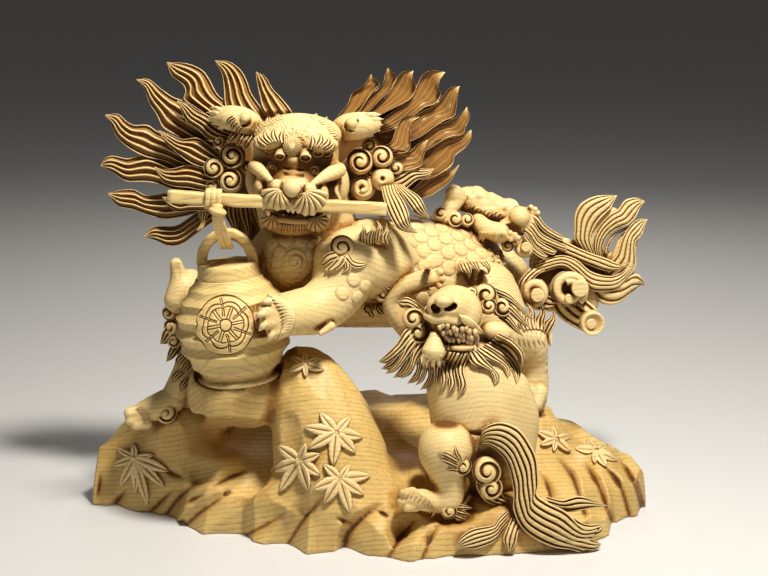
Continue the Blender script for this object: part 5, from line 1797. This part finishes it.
def blade(acc, c, tip, wide, thick, beads=7, nt=30):
    """One lobe: a lens-shaped blade with a sunk vein and beaded edges, cut free of the rock all round."""
    c, tip = np.asarray(c, float), np.asarray(tip, float)
    d = tip - c
    s_ = np.array([-d[1], d[0]]) / np.linalg.norm(d)
    t = np.linspace(0, 1, nt)
    w = 0.5 * wide * np.maximum(np.sin(np.pi * t ** 0.8) ** 0.75, 0.45 * (1 - t) ** 2)
    w = w * (0.93 + 0.10 * np.abs(np.sin(np.pi * beads * t)))
    cr = np.array([-1, -0.88, -0.6, -0.2, 0, 0.2, 0.6, 0.88, 1.0])
    hg = np.array([0.50, 0.84, 1.0, 0.94, 0.62, 0.94, 1.0, 0.84, 0.50])
    base = np.zeros((nt, 3))
    for i in range(nt):
        for j, q in enumerate((-0.8, 0.0, 0.8)):
            p = c + d * t[i] + s_ * w[i] * q
            base[i, j] = skin([ROCK_BVH], p[0], p[1], np.nan)
    for j in range(3):
        ok = ~np.isnan(base[:, j])
        base[:, j] = np.interp(np.arange(nt), np.flatnonzero(ok), base[ok, j]) if ok.any() else -60.0
        base[:, j] = np.convolve(np.pad(base[:, j], 3, mode="edge"), np.ones(7) / 7, "valid")
    bs = np.stack([np.interp(cr, (-0.8, 0, 0.8), base[i]) for i in range(nt)])
    th = thick * (0.75 + 0.25 * np.sin(np.pi * np.clip(t * 0.8 + 0.2, 0, 1)))[:, None] * np.clip((1 - t) * 9, 0.35, 1)[:, None]

    def edge(k):
        return c[0] + d[0] * t[:, None] + s_[0] * w[:, None] * cr * k, c[1] + d[1] * t[:, None] + s_[1] * w[:, None] * cr * k

    F = at(*edge(1.0), bs - 1.3 - th * hg)
    B = at(*edge(1.16), bs - 0.25)
    loop = np.concatenate([F, B[:, ::-1]], 1)
    top = np.repeat(np.array([0, 0, 0, 0.1, 0.75, 0.1, 0, 0, 0])[None], nt, 0)
    acc.tube(loop, np.concatenate([top, np.full((nt, 9), 1.0)], 1))


def maple(name, mid, tips, wide=10.5, high=3.0):
    """Carved leaf: broad pointed lobes round a small boss, standing off the rock."""
    acc = Acc()
    for k, tip in enumerate(tips):
        q = tip[2] if len(tip) > 2 else min(wide, 0.44 * math.hypot(tip[0] - mid[0], tip[1] - mid[1]))
        blade(acc, mid, tip[:2], q, high + 0.3 * (k % 2))
    y0 = skin([ROCK_BVH], mid[0], mid[1], -80)
    curl(acc, P(mid[0], mid[1], y0 - 2.6), 3.2, 2.4, 0.6, 1, 0, (0, -1, 0.3), deep=0.1, nr=8, nt=20, back=1.2)
    acc.make("vis_" + name, name, "rock_wood", LEAF)


maple("maple_leaf_left", (134.5, 457.8), [(116.8, 448.5, 7), (134, 443.6, 7), (154.0, 455.0, 7), (169, 471.5, 11.5), (164.5, 487, 10), (148, 506, 10), (135.6, 494, 8.5), (119.6, 486.5, 10), (112, 465.5, 9)])
maple("maple_leaf_upper", (336.2, 432.4), [(319.8, 412.7), (350.7, 416.1), (304, 427), (307.4, 449), (332.8, 466.1), (356.1, 453.1), (363, 437.3)], 12.0)
maple("maple_leaf_middle", (299.2, 461.3), [(277.5, 445.6), (306, 443.6), (320.4, 453.8), (269.7, 470.9), (279.3, 492.2), (308.8, 490.8), (320.5, 475.7)], 12.0)
maple("maple_leaf_lower", (339.7, 478.7), [(323.2, 464), (350, 464), (370.5, 475.7), (364.4, 494.9), (350.7, 513.5), (323.9, 503.9), (312.2, 489.5)], 12.0)
maple("maple_leaf_top", (305, 364), [(291, 356), (305, 351), (319, 358), (324, 370), (306, 377), (288, 371)], 9.0, 2.6)
maple("maple_leaf_right", (556, 439), [(537, 431), (552, 426), (573, 435), (571, 452), (554, 452), (540, 445)], 9.0, 2.6)
maple("maple_leaf_slope", (595.3, 450.1), [(587, 437.6), (607.5, 445), (618, 460.8), (607, 467), (594.4, 463.8), (575, 448)], 9.0, 2.6)

rock_acc.make("vis_rock", ["rock_base", "rock_pillar", "rock_shelf"], "rock_wood", ROCK)

# ------------------------------------------------------------------ studio
sc = bpy.context.scene
fl = bpy.data.meshes.new("floor")
fl.from_pydata([(-40, -40, 0), (40, -40, 0), (40, 40, 0), (-40, 40, 0)], [], [(0, 1, 2, 3)])
fm = bpy.data.materials.new("floor_pale")
fm.use_nodes = True
fb = fm.node_tree.nodes["Principled BSDF"]
fb.inputs["Base Color"].default_value = (0.62, 0.61, 0.595, 1)
fb.inputs["Roughness"].default_value = 0.8
fl.materials.append(fm)
floor = bpy.data.objects.new("floor", fl)
sc.collection.objects.link(floor)


def lamp(name, loc, target, size, power, color=(1, 1, 1)):
    d = bpy.data.lights.new(name, "AREA")
    d.size = size
    d.energy = power
    d.color = color
    o = bpy.data.objects.new(name, d)
    o.location = loc
    o.rotation_euler = (Vector(target) - Vector(loc)).to_track_quat("-Z", "Y").to_euler()
    sc.collection.objects.link(o)
    return o


lamp("key", (0.28, -0.50, 1.20), (0, 0, 0.18), 0.17, 24.5, (1.0, 0.97, 0.905))
lamp("fill", (-1.3, -1.0, 0.6), (0, 0, 0.18), 1.2, 0.9, (1.0, 0.95, 0.88))
lamp("rim", (0.2, 1.1, 1.1), (0, 0, 0.2), 0.8, 4.5, (1.0, 0.96, 0.9))
wd = bpy.data.worlds.new("studio")
wd.use_nodes = True
wd.node_tree.nodes["Background"].inputs[0].default_value = (0.85, 0.84, 0.82, 1)
wd.node_tree.nodes["Background"].inputs[1].default_value = 0.07
sc.world = wd
sc.view_settings.view_transform = "Standard"

cam = bpy.data.cameras.new("camera")
cam.lens, cam.sensor_width = 70.0, 36.0
co_ = bpy.data.objects.new("camera", cam)
co_.location = tuple(EYE * MM)
co_.rotation_euler = (math.pi / 2 - TILT, 0, 0)
sc.collection.objects.link(co_)
sc.camera = co_

# ------------------------------------------------------------------ wax and dust gathered in the recesses
def gather():
    obs = [o for o in sc.objects if o.type == "MESH" and o.name.startswith("vis_")]
    vs, ns = [], []
    for o in obs:
        k = len(o.data.vertices)
        co, no = np.empty(k * 3, np.float32), np.empty(k * 3, np.float32)
        o.data.vertices.foreach_get("co", co)
        o.data.vertex_normals.foreach_get("vector", no)
        vs.append(co.reshape(-1, 3) * 1000.0)
        ns.append(no.reshape(-1, 3))
    v, n = np.concatenate(vs), np.concatenate(ns)
    h = 2.5
    lo = v.min(0) - 45.0
    dim = np.ceil((v.max(0) + 45.0 - lo) / h).astype(int) + 1
    occ = np.zeros(tuple(dim), bool)
    ix = ((v - lo) / h).astype(np.int32)
    occ[ix[:, 0], ix[:, 1], ix[:, 2]] = True
    flat = occ.ravel()
    st = np.array([dim[1] * dim[2], dim[2], 1], np.int64)
    start = (v + n * 3.2 - lo) / h
    tot, wsum = np.zeros(len(v), np.float32), np.zeros(len(v), np.float32)
    for k in range(26):
        z = 1 - 2 * (k + 0.5) / 26
        an = k * 2.399963
        d = np.array([math.sqrt(1 - z * z) * math.cos(an), math.sqrt(1 - z * z) * math.sin(an), z], np.float32)
        w = n @ d
        on_ = np.flatnonzero(w > 0.05)
        hit = np.zeros(len(on_), np.float32)
        for dist, amount in ((31.0, 0.45), (22.0, 0.65), (14.0, 0.85), (8.5, 1.0), (4.5, 1.0)):
            p = (start[on_] + d * (dist / h)).astype(np.int64)
            hit = np.where(flat[p @ st], amount, hit)
        if d[2] < -0.1:
            hit = np.maximum(hit, 0.30)
        tot[on_] += w[on_] * hit
        wsum[on_] += w[on_]
    dirt = tot / np.maximum(wsum, 1e-4)
    dirt = np.clip((dirt - 0.20) / 0.62, 0, 1)
    dirt = 0.78 * dirt * dirt * (3 - 2 * dirt)
    i = 0
    for o in obs:
        k = len(o.data.vertices)
        c = np.empty(k, np.float32)
        at_ = o.data.attributes["cav"].data
        at_.foreach_get("value", c)
        at_.foreach_set("value", (1 - (1 - c) * (1 - dirt[i:i + k])).astype(np.float32))
        i += k


gather()
